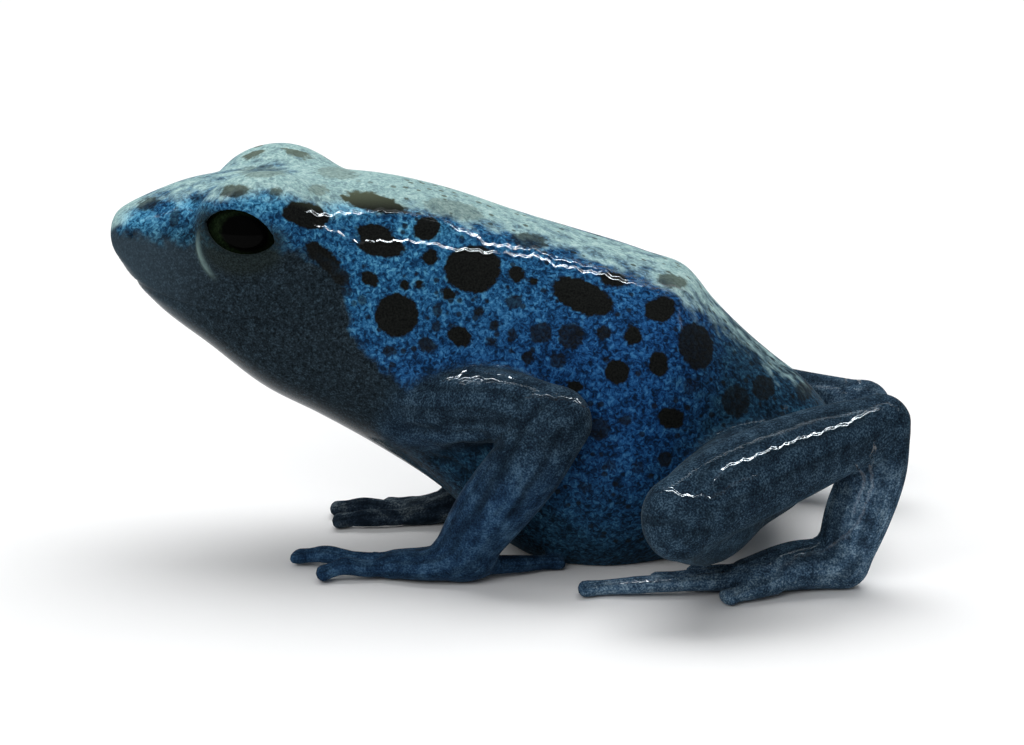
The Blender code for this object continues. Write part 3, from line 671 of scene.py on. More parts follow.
# Colours that change with a noise: each stop is a value of the noise, then red, green and blue.
COLOURS = {
    # The next two blues are one blue in a lit and a shaded copy: painted light and shade.
    "lit_blue": (
        (0.38, 0.005, 0.022, 0.056), (0.46, 0.010, 0.056, 0.140), (0.54, 0.024, 0.125, 0.260),
        (0.67, 0.090, 0.300, 0.470),
    ),
    "shade_blue": (
        (0.38, 0.004, 0.012, 0.030), (0.47, 0.006, 0.030, 0.095), (0.56, 0.013, 0.072, 0.210),
        (0.69, 0.040, 0.165, 0.350),
    ),
    # The dusk blue is a darker copy still: painted shade.
    "dusk_shade": (
        (0.38, 0.004, 0.010, 0.018), (0.48, 0.008, 0.025, 0.049), (0.58, 0.014, 0.053, 0.100),
        (0.70, 0.040, 0.110, 0.170),
    ),
    "face": (
        (0.38, 0.005, 0.014, 0.026), (0.47, 0.012, 0.046, 0.084), (0.56, 0.028, 0.105, 0.175),
        (0.68, 0.085, 0.250, 0.350),
    ),
    # A brighter cyan for patches of painted light.
    "lit_cyan": (
        (0.38, 0.012, 0.060, 0.130), (0.47, 0.040, 0.190, 0.340), (0.56, 0.105, 0.370, 0.560),
        (0.68, 0.240, 0.560, 0.720),
    ),
    # The pale back colour is partly the back's own and partly painted sheen.
    "pale_and_sheen": ((0.38, 0.17, 0.27, 0.29), (0.50, 0.27, 0.42, 0.42), (0.64, 0.42, 0.58, 0.56)),
    "charcoal": (
        (0.38, 0.004, 0.007, 0.009), (0.52, 0.013, 0.021, 0.028), (0.68, 0.034, 0.058, 0.078),
    ),
    "slate": (
        (0.38, 0.006, 0.011, 0.019), (0.51, 0.015, 0.032, 0.053), (0.66, 0.056, 0.100, 0.145),
    ),
    "forearm": (
        (0.38, 0.006, 0.016, 0.038), (0.51, 0.017, 0.046, 0.096), (0.66, 0.055, 0.120, 0.205),
    ),
    # A lighter blue for the foot: painted light.
    "foot": ((0.38, 0.017, 0.032, 0.054), (0.51, 0.052, 0.102, 0.168), (0.66, 0.220, 0.320, 0.400)),
    # Painted shade for the far hand: nearly black, with pale painted highlights.
    "far_hand_shade": (
        (0.40, 0.006, 0.008, 0.009), (0.52, 0.020, 0.026, 0.030), (0.66, 0.130, 0.150, 0.145),
    ),
    "black": ((0.3, 0.0035, 0.004, 0.004), (0.7, 0.012, 0.013, 0.012)),
    "eye_surround": ((0.35, 0.006, 0.009, 0.009), (0.65, 0.021, 0.031, 0.030)),
    "iris": ((0.35, 0.002, 0.004, 0.002), (0.7, 0.012, 0.022, 0.009)),
    "paper": ((0.3, 0.86, 0.86, 0.86), (0.7, 0.89, 0.89, 0.89)),
}
SNOUT_GREY = (0.075, 0.115, 0.150)
STRIPE_BLACK = (0.003, 0.006, 0.009)
# Painted shade in the grooves.
GROOVE_SHADE_BLACK = (0.003, 0.006, 0.010)
PUPIL_BLACK = (0.001, 0.001, 0.001)
# Black spots above the ridge are paled to this olive: painted sheen.
OLIVE_SHEEN = (0.085, 0.100, 0.066)
# A pale painted highlight along the lower lid's edge.
LID_HIGHLIGHT_GREY = (0.17, 0.25, 0.24)
WATER_TINT = (0.75, 0.95, 1.0, 1.0)

# Noises of the materials: scale per metre, or per girth for streaks, detail, roughness, distortion.
LACE = (4300, 2.0, 0.55, 0.8)
COARSE = (1100,)
GRAIN = (9500, 2.0, 0.6)
RAGGED = (2400, 2.0, 0.6)
SHORE = (1500, 3.0)
STREAKS = (2.6, 2.0, 0.6)
FLECKS = (1300,)
FIBRES = (4200, 3.0, 0.7, 1.2)
PAPER_CLOUDS = (40, 3.0)
HIDE_CLOUDS = (800,)
FOOT_CLOUDS = (1900, 1.0)
FINE_CLOUDS = (2600,)

# How far noises push a border, and how much of one goes into another.
PALE_SWAY = 1.6
SHORE_SWAY = 1.6
SPOT_SWAY = 0.42
DUSK_SWAY = 0.1
FLECK_SHARE = 0.3
LACE_SHARE = 0.72
CHARCOAL_GRAIN = 0.55
SLATE_GRAIN = 0.7

# Where colours give way to each other: start and end of a change, then its first and last share
# where these aren't 0 and 1.  Behind and at the snout they are shares of the trunk's length, for
# the painted shade of dusk below they are heights in centimetres, for a spot's edge millimetres
# inside it, and otherwise millimetres above the ridge or below the charcoal's edge.  The painted
# shade of deeper blue towards the rear and bottom goes by weights of length and height, the
# stripes and the iris by the values of their own shapes.
REAR_WEIGHTS = (2.2, 0.9)
SHADE_AT_REAR = (0.45, 1.35)
FACE_ABOVE = (-2.2, -0.4, 0.0, 0.85)
FACE_BEHIND = (0.17, 0.27)
DUSK_BEHIND = (0.80, 0.90)
DUSK_BELOW = (-0.12, -0.95, 0.0, 0.92)
# The pale back above the ridge is partly its own colour, partly painted sheen; at the snout it is
# painted sheen only.
PALE_ABOVE = (-0.35, 0.6)
SHEEN_AT_SNOUT = (0.0, 0.05, 1.6, 0.0)
GREY_AT_SNOUT = (0.03, 0.2, 0.3, 0.0)
CHARCOAL_BEHIND = (0.38, 0.55)
CHARCOAL_BELOW = (-0.35, 0.55)
STRIPE_FADE = (0.58, 0.80, 0.0, 0.45)
SPOT_EDGE = (-0.09, 0.07)
SPECKS_BELOW = (0.2, -0.6, 0.0, 0.8)
SPECKS_BEHIND = (0.25, 0.38)
OLIVE_SHEEN_ABOVE = (-0.2, 1.1)
IRIS_EDGE = (0.80, 1.05)

# Small dots between the spots: cells per metre, size and share of empty cells, then how far they
# are scattered in their cells, and how much of a dot is full.
SPECKS = (1500, 0.32, 0.5)
SPECK_SCATTER = 0.9
SPECK_CORE = 0.6

# Limb colours in order, each over the last: attribute, share of grain, and how much of it shows.
# The foot's colour is painted light; the far hand's is painted shade with pale painted highlights.
LIMB_COLOURS = (("forearm", 0.5, 1.0), ("foot", 0.6, 1.0), ("far_hand_shade", 0.4, 0.75))

# How much shows of the cyan patches of painted light, the painted shade in the grooves, the eye's
# surround and the painted highlight on the lower lid's edge.
LIT_CYAN_SHARE = 0.6
GROOVE_SHADE_SHARE = 0.6
SURROUND_SHARE = 0.85
LID_HIGHLIGHT_SHARE = 0.8

# Wet creases: how far the film and the ridge lie from the line, and where each thins and ends.
FILM = (0.09, 0.07, 0.12)
CREST = (0.0, 0.0, 0.2)
FILM_CLOUDS = 0.04
THROAT_FILM = 0.5

# Bumps of hide, creases, feet, fine folds and grain, from the lowest up: strength, depth in metres.
BUMPS = ((0.5, 0.00005), (1.0, 0.00006), (0.8, 0.00009), (0.2, 0.00004), (0.25, 0.000015))

# The pupil's middle lies behind the eye's, and these weights of ahead and above make it an oval.
PUPIL_BACK = 0.14
PUPIL_OVAL = (1.5, 2.0)

# Skin folds: depth, width, then the points they pass through.
FOLDS = (
    (0.30, 0.30, ((-6.2, -7.2, 8.6), (-3.6, -8.9, 8.3), (-1.4, -9.9, 9.0))),
    (0.22, 0.26, ((-5.6, -7.3, 7.4), (-3.4, -7.9, 7.3), (-1.6, -8.4, 7.8))),
    (0.18, 0.30, ((-6.4, -7.2, 11.0), (-4.6, -7.8, 11.9), (-2.6, -8.2, 12.4))),
    (0.20, 0.30, ((-6.2, 7.4, 8.4), (-3.8, 9.0, 7.9), (-1.8, 9.6, 8.2))),
    (0.18, 0.26, ((1.6, -9.4, 9.3), (2.7, -9.0, 8.6), (3.4, -8.8, 7.4))),
    (0.20, 0.30, ((9.4, -8.9, 9.0), (12.4, -7.8, 9.8), (15.2, -6.4, 9.4))),
    (0.20, 0.30, ((9.4, 8.9, 9.0), (12.4, 7.8, 9.8), (15.2, 6.4, 9.4))),
    (0.16, 0.22, ((20.0, -9.9, 8.6), (20.9, -10.2, 8.4), (21.9, -9.6, 8.2))),
    (0.14, 0.20, ((-2.9, -10.4, 2.4), (-1.9, -10.8, 2.3), (-0.9, -10.4, 2.2))),
)


def camera_axes():
    """Where the camera stands, and its directions to the right, up and forward."""
    across, level = math.sin(VIEW_ROUND), math.cos(VIEW_DOWN)
    forward = np.array((-across * level, math.cos(VIEW_ROUND) * level, -math.sin(VIEW_DOWN)))
    right = np.array((math.cos(VIEW_ROUND), across, 0.0))
    return AIM - DISTANCE * forward, right, np.cross(right, forward), forward


def seen_at(points):
    """Where the camera sees each point, in image pixels."""
    eye, right, up, forward = camera_axes()
    away = points - eye
    depth = away @ forward
    x = IMAGE_MIDDLE[0] + FOCUS_PIXELS * (away @ right) / depth
    return x, IMAGE_MIDDLE[1] - FOCUS_PIXELS * (away @ up) / depth


def step(low, high, value):
    """Smooth change from 0 at low to 1 at high."""
    t = np.clip((value - low) / (high - low), 0, 1)
    return t * t * (3 - 2 * t)


def mouth_level(along):
    """Height of the mouth line above the axis: a straight line less a sine's sag."""
    share = (along - MOUTH_START[0]) / (MOUTH_END[0] - MOUTH_START[0])
    level = MOUTH_START[1] + (MOUTH_END[1] - MOUTH_START[1]) * share
    return level - MOUTH_SAG * np.sin(math.pi * np.clip(share, 0, 1))


def on_flank(place, side):
    """The point of the skin straight outwards from this place along the body and above its axis."""
    along, up = place
    top, bottom, wide, level = section(np.array([along]))[:, 0]
    reach = (top if up > level else bottom) - level
    power = BACK_SQUARENESS if up > level else BELLY_SQUARENESS
    across = wide * (1 - abs((up - level) / reach) ** power) ** (1 / power)
    if along < SNOUT_ROUND:
        across *= (1 - (1 - along / SNOUT_ROUND) ** SNOUT_POWER) ** (1 / SNOUT_POWER)
    return from_body((along, side * across, up))


def beside_line(points, line):
    """The span of each straight piece of a line, and each point's offset from its start and from its
    nearest place, which is start + span * clip(offset . span / span . span, 0, 1)."""
    line = np.array(line, float)
    for start, span in zip(line, np.diff(line, axis=0)):
        offset = points - start
        share = np.clip(offset @ span / (span @ span), 0, 1)
        yield span, offset, offset - share[:, None] * span


def from_line(points, line):
    """Distance from each point to a line of points joined by straight pieces."""
    return np.min([np.linalg.norm(rest, axis=1) for _, _, rest in beside_line(points, line)], axis=0)


def from_spot(points, place, side):
    """Distance from each point to a place on the flank of one side."""
    return np.linalg.norm(points - on_flank(place, side), axis=1)


def wander(place, along, waves):
    """The place moved by sine waves, each given by its height and its turn per pixel."""
    return sum((high * np.sin(along * turn) for high, turn in waves), place)


def bell(far, height, at, width):
    """A soft rise at a distance: height * exp(-((far - at) / width)^2)."""
    return height * np.exp(-((far - at) / width) ** 2)


def from_eyes(points):
    """How far the points lie outwards, ahead and below the centre of each eye."""
    for side in (-1, 1):
        centre, outward, forward, upward = eye_frame(side)
        offset = points - centre
        yield offset @ outward, offset @ forward, -(offset @ upward)


def eye_surround(points):
    """1 close to the front and lower edge of each eye, fading outwards and upwards."""
    found = np.zeros(len(points))
    for out, ahead, below in from_eyes(points):
        shade = 1 - step(*SURROUND_REACH, np.hypot(ahead, below * SURROUND_FLATNESS))
        shade *= step(*SURROUND_TOP, below) * (out > 0)
        found = np.maximum(found, shade)
    return found


def crescent(points):
    """The curved edge of the lower lid, below and ahead of each eye: 1 on it, 0 beside it."""
    found = np.zeros(len(points))
    for out, ahead, below in from_eyes(points):
        turn = np.degrees(np.arctan2(below, ahead))
        drift = CRESCENT_DRIFT * (turn - CRESCENT_TURN[0]) / CRESCENT_TURN[1]
        far = np.hypot(ahead, below) - (CRESCENT_RADIUS + drift)
        here = step(*CRESCENT_STARTS, turn) * (1 - step(*CRESCENT_ENDS, turn)) * (out > 0)
        found = np.maximum(found, bell(far, 1.0, 0.0, CRESCENT_WIDTH) * here)
    return found


def near_side_view(points, normals):
    """Where the camera sees each point, or its mirror image on the far side, and whether it does."""
    near = points.copy()
    near[:, 1] = -np.abs(near[:, 1])
    facing = ((camera_axes()[0] - near) * normals * (1, -1, 1) ** (points[:, 1:2] > 0)).sum(1) > 0
    return *seen_at(near), facing


def creases(points, normals, lines):
    """Signed distance beside the nearest wet crease, and a mask that is 1 close to it."""
    x, y, facing = near_side_view(points, normals)
    place = np.stack([wander(x, y, CREASE_WAVES[0]), wander(y, x, CREASE_WAVES[1])], 1)
    found = np.full(len(points), FAR_AWAY)
    for line in lines:
        for span, offset, rest in beside_line(place, line):
            gap = np.linalg.norm(rest, axis=1) * DISTANCE / FOCUS_PIXELS
            gap *= np.sign(span[0] * offset[:, 1] - span[1] * offset[:, 0])
            found = np.where(np.abs(gap) < np.abs(found), gap, found)
    return found, facing * (1 - step(*WET_REACH, np.abs(found)))


def grooves(points, normals):
    """1 along the grooves, where the skin sinks and is darkened with painted shade, falling to 0
    beside them.
    """
    x, y, facing = near_side_view(points, normals)
    place = np.stack([wander(x, y, GROOVE_WAVES[0]), wander(y, x, GROOVE_WAVES[1])], 1)
    found = np.zeros(len(points))
    for line in GROOVES:
        found = np.maximum(found, 1 - step(0, GROOVE_WIDTH, from_line(place, line)))
    return facing * found


def lit_patches(points, normals):
    """1 in the middle of each patch of painted light in brighter cyan, falling to 0 at its edge."""
    x, y, facing = near_side_view(points, normals)
    share = [1 - np.hypot((x - px) / rx, (y - py) / ry) for px, py, rx, ry in LIT_PATCHES]
    return facing * np.clip(np.max(share, axis=0) * PATCH_GAIN, 0, 1)


def fine_places(points):
    """True where the face needs smaller cells: lips, nostrils, lids and ear discs."""
    own = into_body(points)
    fine = np.abs(own[:, 2] - mouth_level(own[:, 0])) < FINE_LIPS
    fine &= own[:, 0] < MOUTH_END[0] + FINE_MOUTH_END
    for side, (out, _, _) in zip((-1, 1), from_eyes(points)):
        far = np.linalg.norm(points - eye_frame(side)[0], axis=1)
        fine |= (far < LID_RADIUS + FINE_LIDS) & (out > FINE_EYE_OUT)
        fine |= from_spot(points, NOSTRIL_AT, side) < FINE_NOSTRIL
        fine |= from_spot(points, EAR_AT, side) < EAR_RADIUS + FINE_EAR
    return fine


def relief(points):
    """How far the skin stands out or sinks at each point: lips, nostrils, ear discs and folds."""
    own = into_body(points)
    from_lips = own[:, 2] - mouth_level(own[:, 0])
    here = 1 - step(MOUTH_END[0] - MOUTH_FADE[0], MOUTH_END[0] + MOUTH_FADE[1], own[:, 0])
    rise = bell(from_lips, *LIP_GROOVE) * here
    rise += bell(np.abs(from_lips), *LIP_ROLLS) * here
    for side in (-1, 1):
        far = from_spot(points, NOSTRIL_AT, side)
        rise += bell(far, *NOSTRIL_RIM) + bell(far, *NOSTRIL_HOLE)
        far = from_spot(points, EAR_AT, side)
        rise += EAR_RISE * (1 - step(*EAR_SLOPE, far)) + bell(far, *EAR_RING)
    rise += CRESCENT_RISE * crescent(points)
    for depth, width, line in FOLDS:
        rise += bell(from_line(points, line), -depth, 0.0, width)
    for side in (-1, 1):
        line = [on_flank((along, level - RIDGE_BELOW), side) for along, level in RIDGE[RIDGE_PART]]
        rise += bell(from_line(points, line), RIDGE_RISE, 0.0, RIDGE_WIDTH)
    return rise


def body_share(points, pieces):
    """1 on the head and trunk, 0 on a limb, with a soft change where they join; and, for stripes
    along the limbs, the place across and above the nearest limb's path in shares of its girth."""
    limb = np.full(len(points), FAR_AWAY)
    girth, weight = np.zeros((len(points), 2)), np.full(len(points), LEAST_WEIGHT)
    for piece in pieces:
        near = np.all((points > piece.low) & (points < piece.high), axis=1)
        gap = piece.distance(points[near])
        limb[near] = np.minimum(limb[near], gap)
        share = np.exp(-np.abs(gap) / GIRTH_BLEND)
        girth[near] += share[:, None] * piece.girth
        weight[near] += share
    from_trunk = with_eyes(points, trunk(points))
    return step(*BODY_EDGE, limb - from_trunk), girth / weight[:, None]


def markings(points, normals, on_body):
    """Dark spots as distance inside the nearest edge, and how strong that spot is."""
    x, y = seen_at(points)
    eye = camera_axes()[0]
    facing = ((eye - points) * normals).sum(1) / np.linalg.norm(eye - points, axis=1)
    near_side = (facing > TURNED_TO) & (points[:, 1] < NEAR_UNTIL)
    inside, strength = np.full(len(points), -1.0), np.zeros(len(points))
    scale = DISTANCE / FOCUS_PIXELS
    for sx, sy, rx, ry, tilt, dark in SPOTS:
        c, s = math.cos(math.radians(tilt)), math.sin(math.radians(tilt))
        dx, dy = x - sx, y - sy
        radius = np.hypot((dx * c + dy * s) / rx, (dy * c - dx * s) / ry)
        depth = np.where(near_side, (1 - radius) * min(rx, ry) * scale, -1)
        better = depth > inside
        inside, strength = np.where(better, depth, inside), np.where(better, dark, strength)

    # The far side, the back and the belly carry spots of the same sizes at seeded places.
    chance = np.random.default_rng(SEED)
    hidden = np.nonzero(~near_side & (on_body > MOSTLY_BODY))[0]
    centres = np.empty((0, 4))
    least, most = FAR_SPOT_SIZES
    for k in chance.choice(hidden, FAR_SPOT_COUNT * FAR_SPOT_TRIES):
        size = least + (most - least) * chance.random() ** FAR_SPOT_RARITY
        gap = np.linalg.norm(centres[:, :3] - points[k], axis=1) - centres[:, 3] - size
        if len(centres) < FAR_SPOT_COUNT and (len(gap) == 0 or gap.min() > FAR_SPOT_GAP):
            centres = np.vstack([centres, (*points[k], size)])
    far = points[~near_side]
    best = np.full(len(far), -1.0)
    for *centre, size in centres:
        best = np.maximum(best, size - np.linalg.norm(far - np.array(centre), axis=1))
    inside[~near_side] = np.maximum(inside[~near_side], best)
    strength[~near_side] = FAR_SPOT_DARKNESS
    return inside, strength * on_body


def divided(points, faces, wanted):
    """Splits every face whose points are all wanted into four, and its neighbours to match."""
    mesh = bpy.data.meshes.new("net")
    mesh.from_pydata(points, [], faces)
    work = bmesh.new()
    work.from_mesh(mesh)
    bpy.data.meshes.remove(mesh)
    work.verts.ensure_lookup_table()
    work.faces.ensure_lookup_table()
    chosen = np.nonzero(wanted[faces].all(1))[0]
    edges = {e for i in chosen for e in work.faces[i].edges}
    bmesh.ops.subdivide_edges(work, edges=list(edges), cuts=1, use_grid_fill=True)
    return work


def level_at(table, along):
    """Height of a line given as pairs along the axis and above it."""
    table = np.array(table)
    return smooth(table[:, 0], table[:, 1:], np.clip(along, table[0, 0], table[-1, 0]))[:, 0]


def bare_skin(pieces):
    """The seamless skin mesh before its relief, with its points in millimetres and their normals."""
    axes = grid_axes()
    points, faces = net(axes, sampled(axes, pieces))
    points = settle(points, pieces)
    work = divided(points, faces, fine_places(points))
    mesh = bpy.data.meshes.new("skin")
    work.to_mesh(mesh)
    work.free()
    points = np.empty((len(mesh.vertices), 3))
    mesh.vertices.foreach_get("co", points.ravel())
    points = settle(points, pieces, 2)
    mesh.vertices.foreach_set("co", points.ravel())
    mesh.update()
    normals = np.empty((len(points), 3))
    mesh.vertices.foreach_get("normal", normals.ravel())
    return mesh, points, normals


def describe(mesh, points, normals, pieces):
    """Stores on every point what the material needs to know about its place."""
    on_body, girth = body_share(points, pieces)
    on_limb = 1 - on_body
    inside, strength = markings(points, normals, on_body)
    own = into_body(points)
    below_edge = level_at(CHARCOAL_EDGE, own[:, 0]) - own[:, 2]
    plain = step(*PLAIN_BELOW_EDGE, below_edge) * (1 - step(*PLAIN_ENDS, own[:, 0]))
    plain *= step(*PLAIN_SIDE, own[:, 1])
    store(mesh, "spot", inside)
    store(mesh, "spot_dark", strength * (1 - plain))
    store(mesh, "body", on_body)
    store(mesh, "below_edge", below_edge)
    store(mesh, "along", own[:, 0] / LENGTH)
    store(mesh, "height", own[:, 2] / MM_PER_CM)
    store(mesh, "above_ridge", own[:, 2] - level_at(RIDGE, own[:, 0]))
    x, y, z = points.T
    low_arm = step(*FOREARM_LOW, -z) * step(*FOREARM_AHEAD, -x) * on_limb
    store(mesh, "forearm", low_arm)
    # Painted shade: where the far hand is darkened.
    store(mesh, "far_hand_shade", low_arm * step(*FAR_HAND_SHADE_SIDE, y))
    low_leg = step(*LEG_BEHIND, x) * step(*LEG_LOW, -z)
    toes = step(*TOES_BEHIND, x) * step(*TOES_LOW, -z)
    # The foot's colour is painted lighter as light; the same mask gives its stronger bumps.
    store(mesh, "foot", np.maximum(low_leg, toes) * on_limb)
    store(mesh, "girth_across", girth[:, 0])
    store(mesh, "girth_above", girth[:, 1])
    store(mesh, "crescent", crescent(points))
    store(mesh, "eye_surround", eye_surround(points))
    for name, lines in (("wet_upper", WET_UPPER), ("wet_lower", WET_LOWER)):
        beside, mask = creases(points, normals, lines)
        store(mesh, name, beside)
        store(mesh, name + "_mask", mask)
    store(mesh, "lit_cyan", lit_patches(points, normals))
    store(mesh, "groove_shade", grooves(points, normals))
    _, bottom, _, level = section(own[:, 0])
    throat = step(*THROAT_SHARE, (level - own[:, 2]) / (level - bottom))
    store(mesh, "throat", throat * (1 - step(*THROAT_ENDS, own[:, 0])) * on_body)


def skin(pieces, box):
    """The finished skin with its attributes and relief, held inside the frame's own box."""
    mesh, points, normals = bare_skin(pieces)
    describe(mesh, points, normals, pieces)
    rise = relief(points) - GROOVE_DEPTH * grooves(points, normals)
    points = points + rise[:, None] * normals
    points[:, 2] = np.maximum(points[:, 2], FLOOR_GAP)
    low, high = (np.array(corner) / MM + CENTRE for corner in box)
    ahead = points[:, 0] - low[0]
    rounded = low[0] + SNOUT_ROOM * np.exp(ahead / SNOUT_ROOM - 1)
    points[:, 0] = np.where(ahead < SNOUT_ROOM, rounded, points[:, 0])
    points = np.clip(points, low + BOX_GAP, high - BOX_GAP)
    mesh.vertices.foreach_set("co", ((points - CENTRE) * MM).ravel())
    mesh.update()
    mesh.shade_smooth()
    return linked("skin", mesh)


def linked(name, data):
    """A new object that stands in the scene, with this mesh, lamp or camera."""
    obj = bpy.data.objects.new(name, data)
    bpy.context.collection.objects.link(obj)
    return obj


def store(mesh, name, values):
    """Gives the mesh one number per point under this name, for its material to read."""
    data = mesh.attributes.new(name, "FLOAT", "POINT").data
    data.foreach_set("value", np.ascontiguousarray(values, dtype=np.float32))


def eyeball(name, side):
    """A ball as a grid of turn and tilt, with its pole pointing outwards.

    Its attributes give the place on the eye's front: ahead along the head, and above."""
    centre, outward, forward, upward = eye_frame(side)
    turn = np.linspace(0, 2 * math.pi, EYE_SIDES, endpoint=False)
    tilt = np.linspace(0, math.pi, EYE_ROWS)[1:-1]
    out = np.cos(tilt)[:, None] + 0 * turn
    ahead = np.sin(tilt)[:, None] * np.cos(turn)
    above = np.sin(tilt)[:, None] * np.sin(turn)
    grid = out[..., None] * outward + ahead[..., None] * forward + above[..., None] * upward
    points = np.vstack([grid.reshape(-1, 3), outward, -outward])
    rows, sides = len(tilt), len(turn)
    i, j = np.meshgrid(np.arange(rows - 1), np.arange(sides), indexing="ij")
    k = (j + 1) % sides
    quads = np.stack([i * sides + j, (i + 1) * sides + j, (i + 1) * sides + k, i * sides + k], -1)
    ring = np.arange(sides)
    first = np.stack([ring * 0 + rows * sides, ring, (ring + 1) % sides], -1)
    last = (rows - 1) * sides
    final = np.stack([ring * 0 + rows * sides + 1, last + (ring + 1) % sides, last + ring], -1)
    mesh = bpy.data.meshes.new(name)
    faces = quads.reshape(-1, 4).tolist() + first.tolist() + final.tolist()
    mesh.from_pydata((centre + EYE_RADIUS * points - CENTRE) * MM, [], faces)
    store(mesh, "ahead", points @ forward)
    store(mesh, "above", points @ upward)
    work = bmesh.new()
    work.from_mesh(mesh)
    bmesh.ops.recalc_face_normals(work, faces=work.faces)
    work.to_mesh(mesh)
    work.free()
    mesh.shade_smooth()
    return linked(name, mesh)


class Shader:
    """Short ways to add and join nodes of one material."""

    def __init__(self, name):
        self.material = bpy.data.materials.new(name)
        self.material.use_nodes = True
        self.nodes = self.material.node_tree.nodes
        self.links = self.material.node_tree.links
        self.surface = self.nodes["Principled BSDF"]
        self.place = self.nodes.new("ShaderNodeTexCoord").outputs["Object"]

    def put(self, socket, value):
        """Joins the socket to another node's result, or sets it to a number or a colour."""
        if isinstance(value, bpy.types.NodeSocket):
            self.links.new(value, socket)
        else:
            socket.default_value = value

    def set(self, node, **values):
        """Fills the node's sockets by name."""
        for key, value in values.items():
            self.put(node.inputs[key.replace("_", " ")], value)

    def attribute(self, name):
        """A number stored on the points of the mesh."""
        node = self.nodes.new("ShaderNodeAttribute")
        node.attribute_name = name
        return node.outputs["Fac"]

    def noise(self, scale, detail=2.0, rough=0.5, distort=0.0, place=None):
        """Soft random clouds between 0 and 1."""
        node = self.nodes.new("ShaderNodeTexNoise")
        self.set(node, Vector=place or self.place, Scale=scale, Detail=detail, Roughness=rough,
                 Distortion=distort)
        return node.outputs["Fac"]

    def specks(self, scale, size, few):
        """Small round dots scattered one to a cell, with the given share of cells left empty."""
        cells = self.nodes.new("ShaderNodeTexVoronoi")
        self.set(cells, Vector=self.place, Scale=scale, Randomness=SPECK_SCATTER)
        split = self.nodes.new("ShaderNodeSeparateColor")
        self.links.new(cells.outputs["Color"], split.inputs[0])
        dot = self.fade(cells.outputs["Distance"], size, size * SPECK_CORE)
        return self.times(dot, self.math("GREATER_THAN", split.outputs[0], few))

    def stripes(self):
        """Vague dark stripes that run along the limbs."""
        place = self.nodes.new("ShaderNodeCombineXYZ")
        self.set(place, X=self.attribute("girth_across"), Y=self.attribute("girth_above"))
        streaks = self.noise(*STREAKS, place=place.outputs[0])
        flecks = self.times(self.noise(*FLECKS), FLECK_SHARE)
        return self.fade(self.add(streaks, flecks), *STRIPE_FADE)

    def math(self, kind, *values):
        """The result of one sum on one or two values."""
        node = self.nodes.new("ShaderNodeMath")
        node.operation = kind
        for socket, value in zip(node.inputs, values):
            self.put(socket, value)
        return node.outputs[0]

    def add(self, a, b):
        """a + b."""
        return self.math("ADD", a, b)

    def times(self, a, b):
        """a * b."""
        return self.math("MULTIPLY", a, b)

    def weigh(self, a, share, b):
        """a * share + b * (1 - share)."""
        return self.add(self.times(a, share), self.times(b, 1 - share))

    def swing(self, value, size):
        """(value - 0.5) * size, which sways to both sides of 0."""
        return self.times(self.math("SUBTRACT", value, 0.5), size)

    def fade(self, value, low, high, start=0.0, end=1.0):
        """Smooth change from start at low to end at high."""
        node = self.nodes.new("ShaderNodeMapRange")
        node.interpolation_type = "SMOOTHSTEP"
        self.set(node, Value=value, From_Min=low, From_Max=high, To_Min=start, To_Max=end)
        return node.outputs[0]

    def ramp(self, value, name):
        """The named colours, chosen by the value."""
        node = self.nodes.new("ShaderNodeValToRGB")
        ramp = node.color_ramp
        while len(ramp.elements) < len(COLOURS[name]):
            ramp.elements.new(0.5)
        for element, (at, *colour) in zip(ramp.elements, COLOURS[name]):
            element.position = at
            element.color = (*colour, 1)
        self.links.new(value, node.inputs["Fac"])
        return node.outputs["Color"]

    def mix(self, share, a, b):
        """Colour a where the share is 0, colour b where it is 1."""
        node = self.nodes.new("ShaderNodeMix")
        node.data_type = "RGBA"
        for number, value in ((0, share), (6, a), (7, b)):
            self.put(node.inputs[number], (*value, 1) if isinstance(value, tuple) else value)
        return node.outputs[2]

    def bump(self, height, strength, depth, under=None):
        """The surface tilted by a height, on top of the tilt given as under."""
        node = self.nodes.new("ShaderNodeBump")
        self.set(node, Height=height, Strength=strength, Distance=depth)
        if under is not None:
            self.links.new(under, node.inputs["Normal"])
        return node.outputs["Normal"]


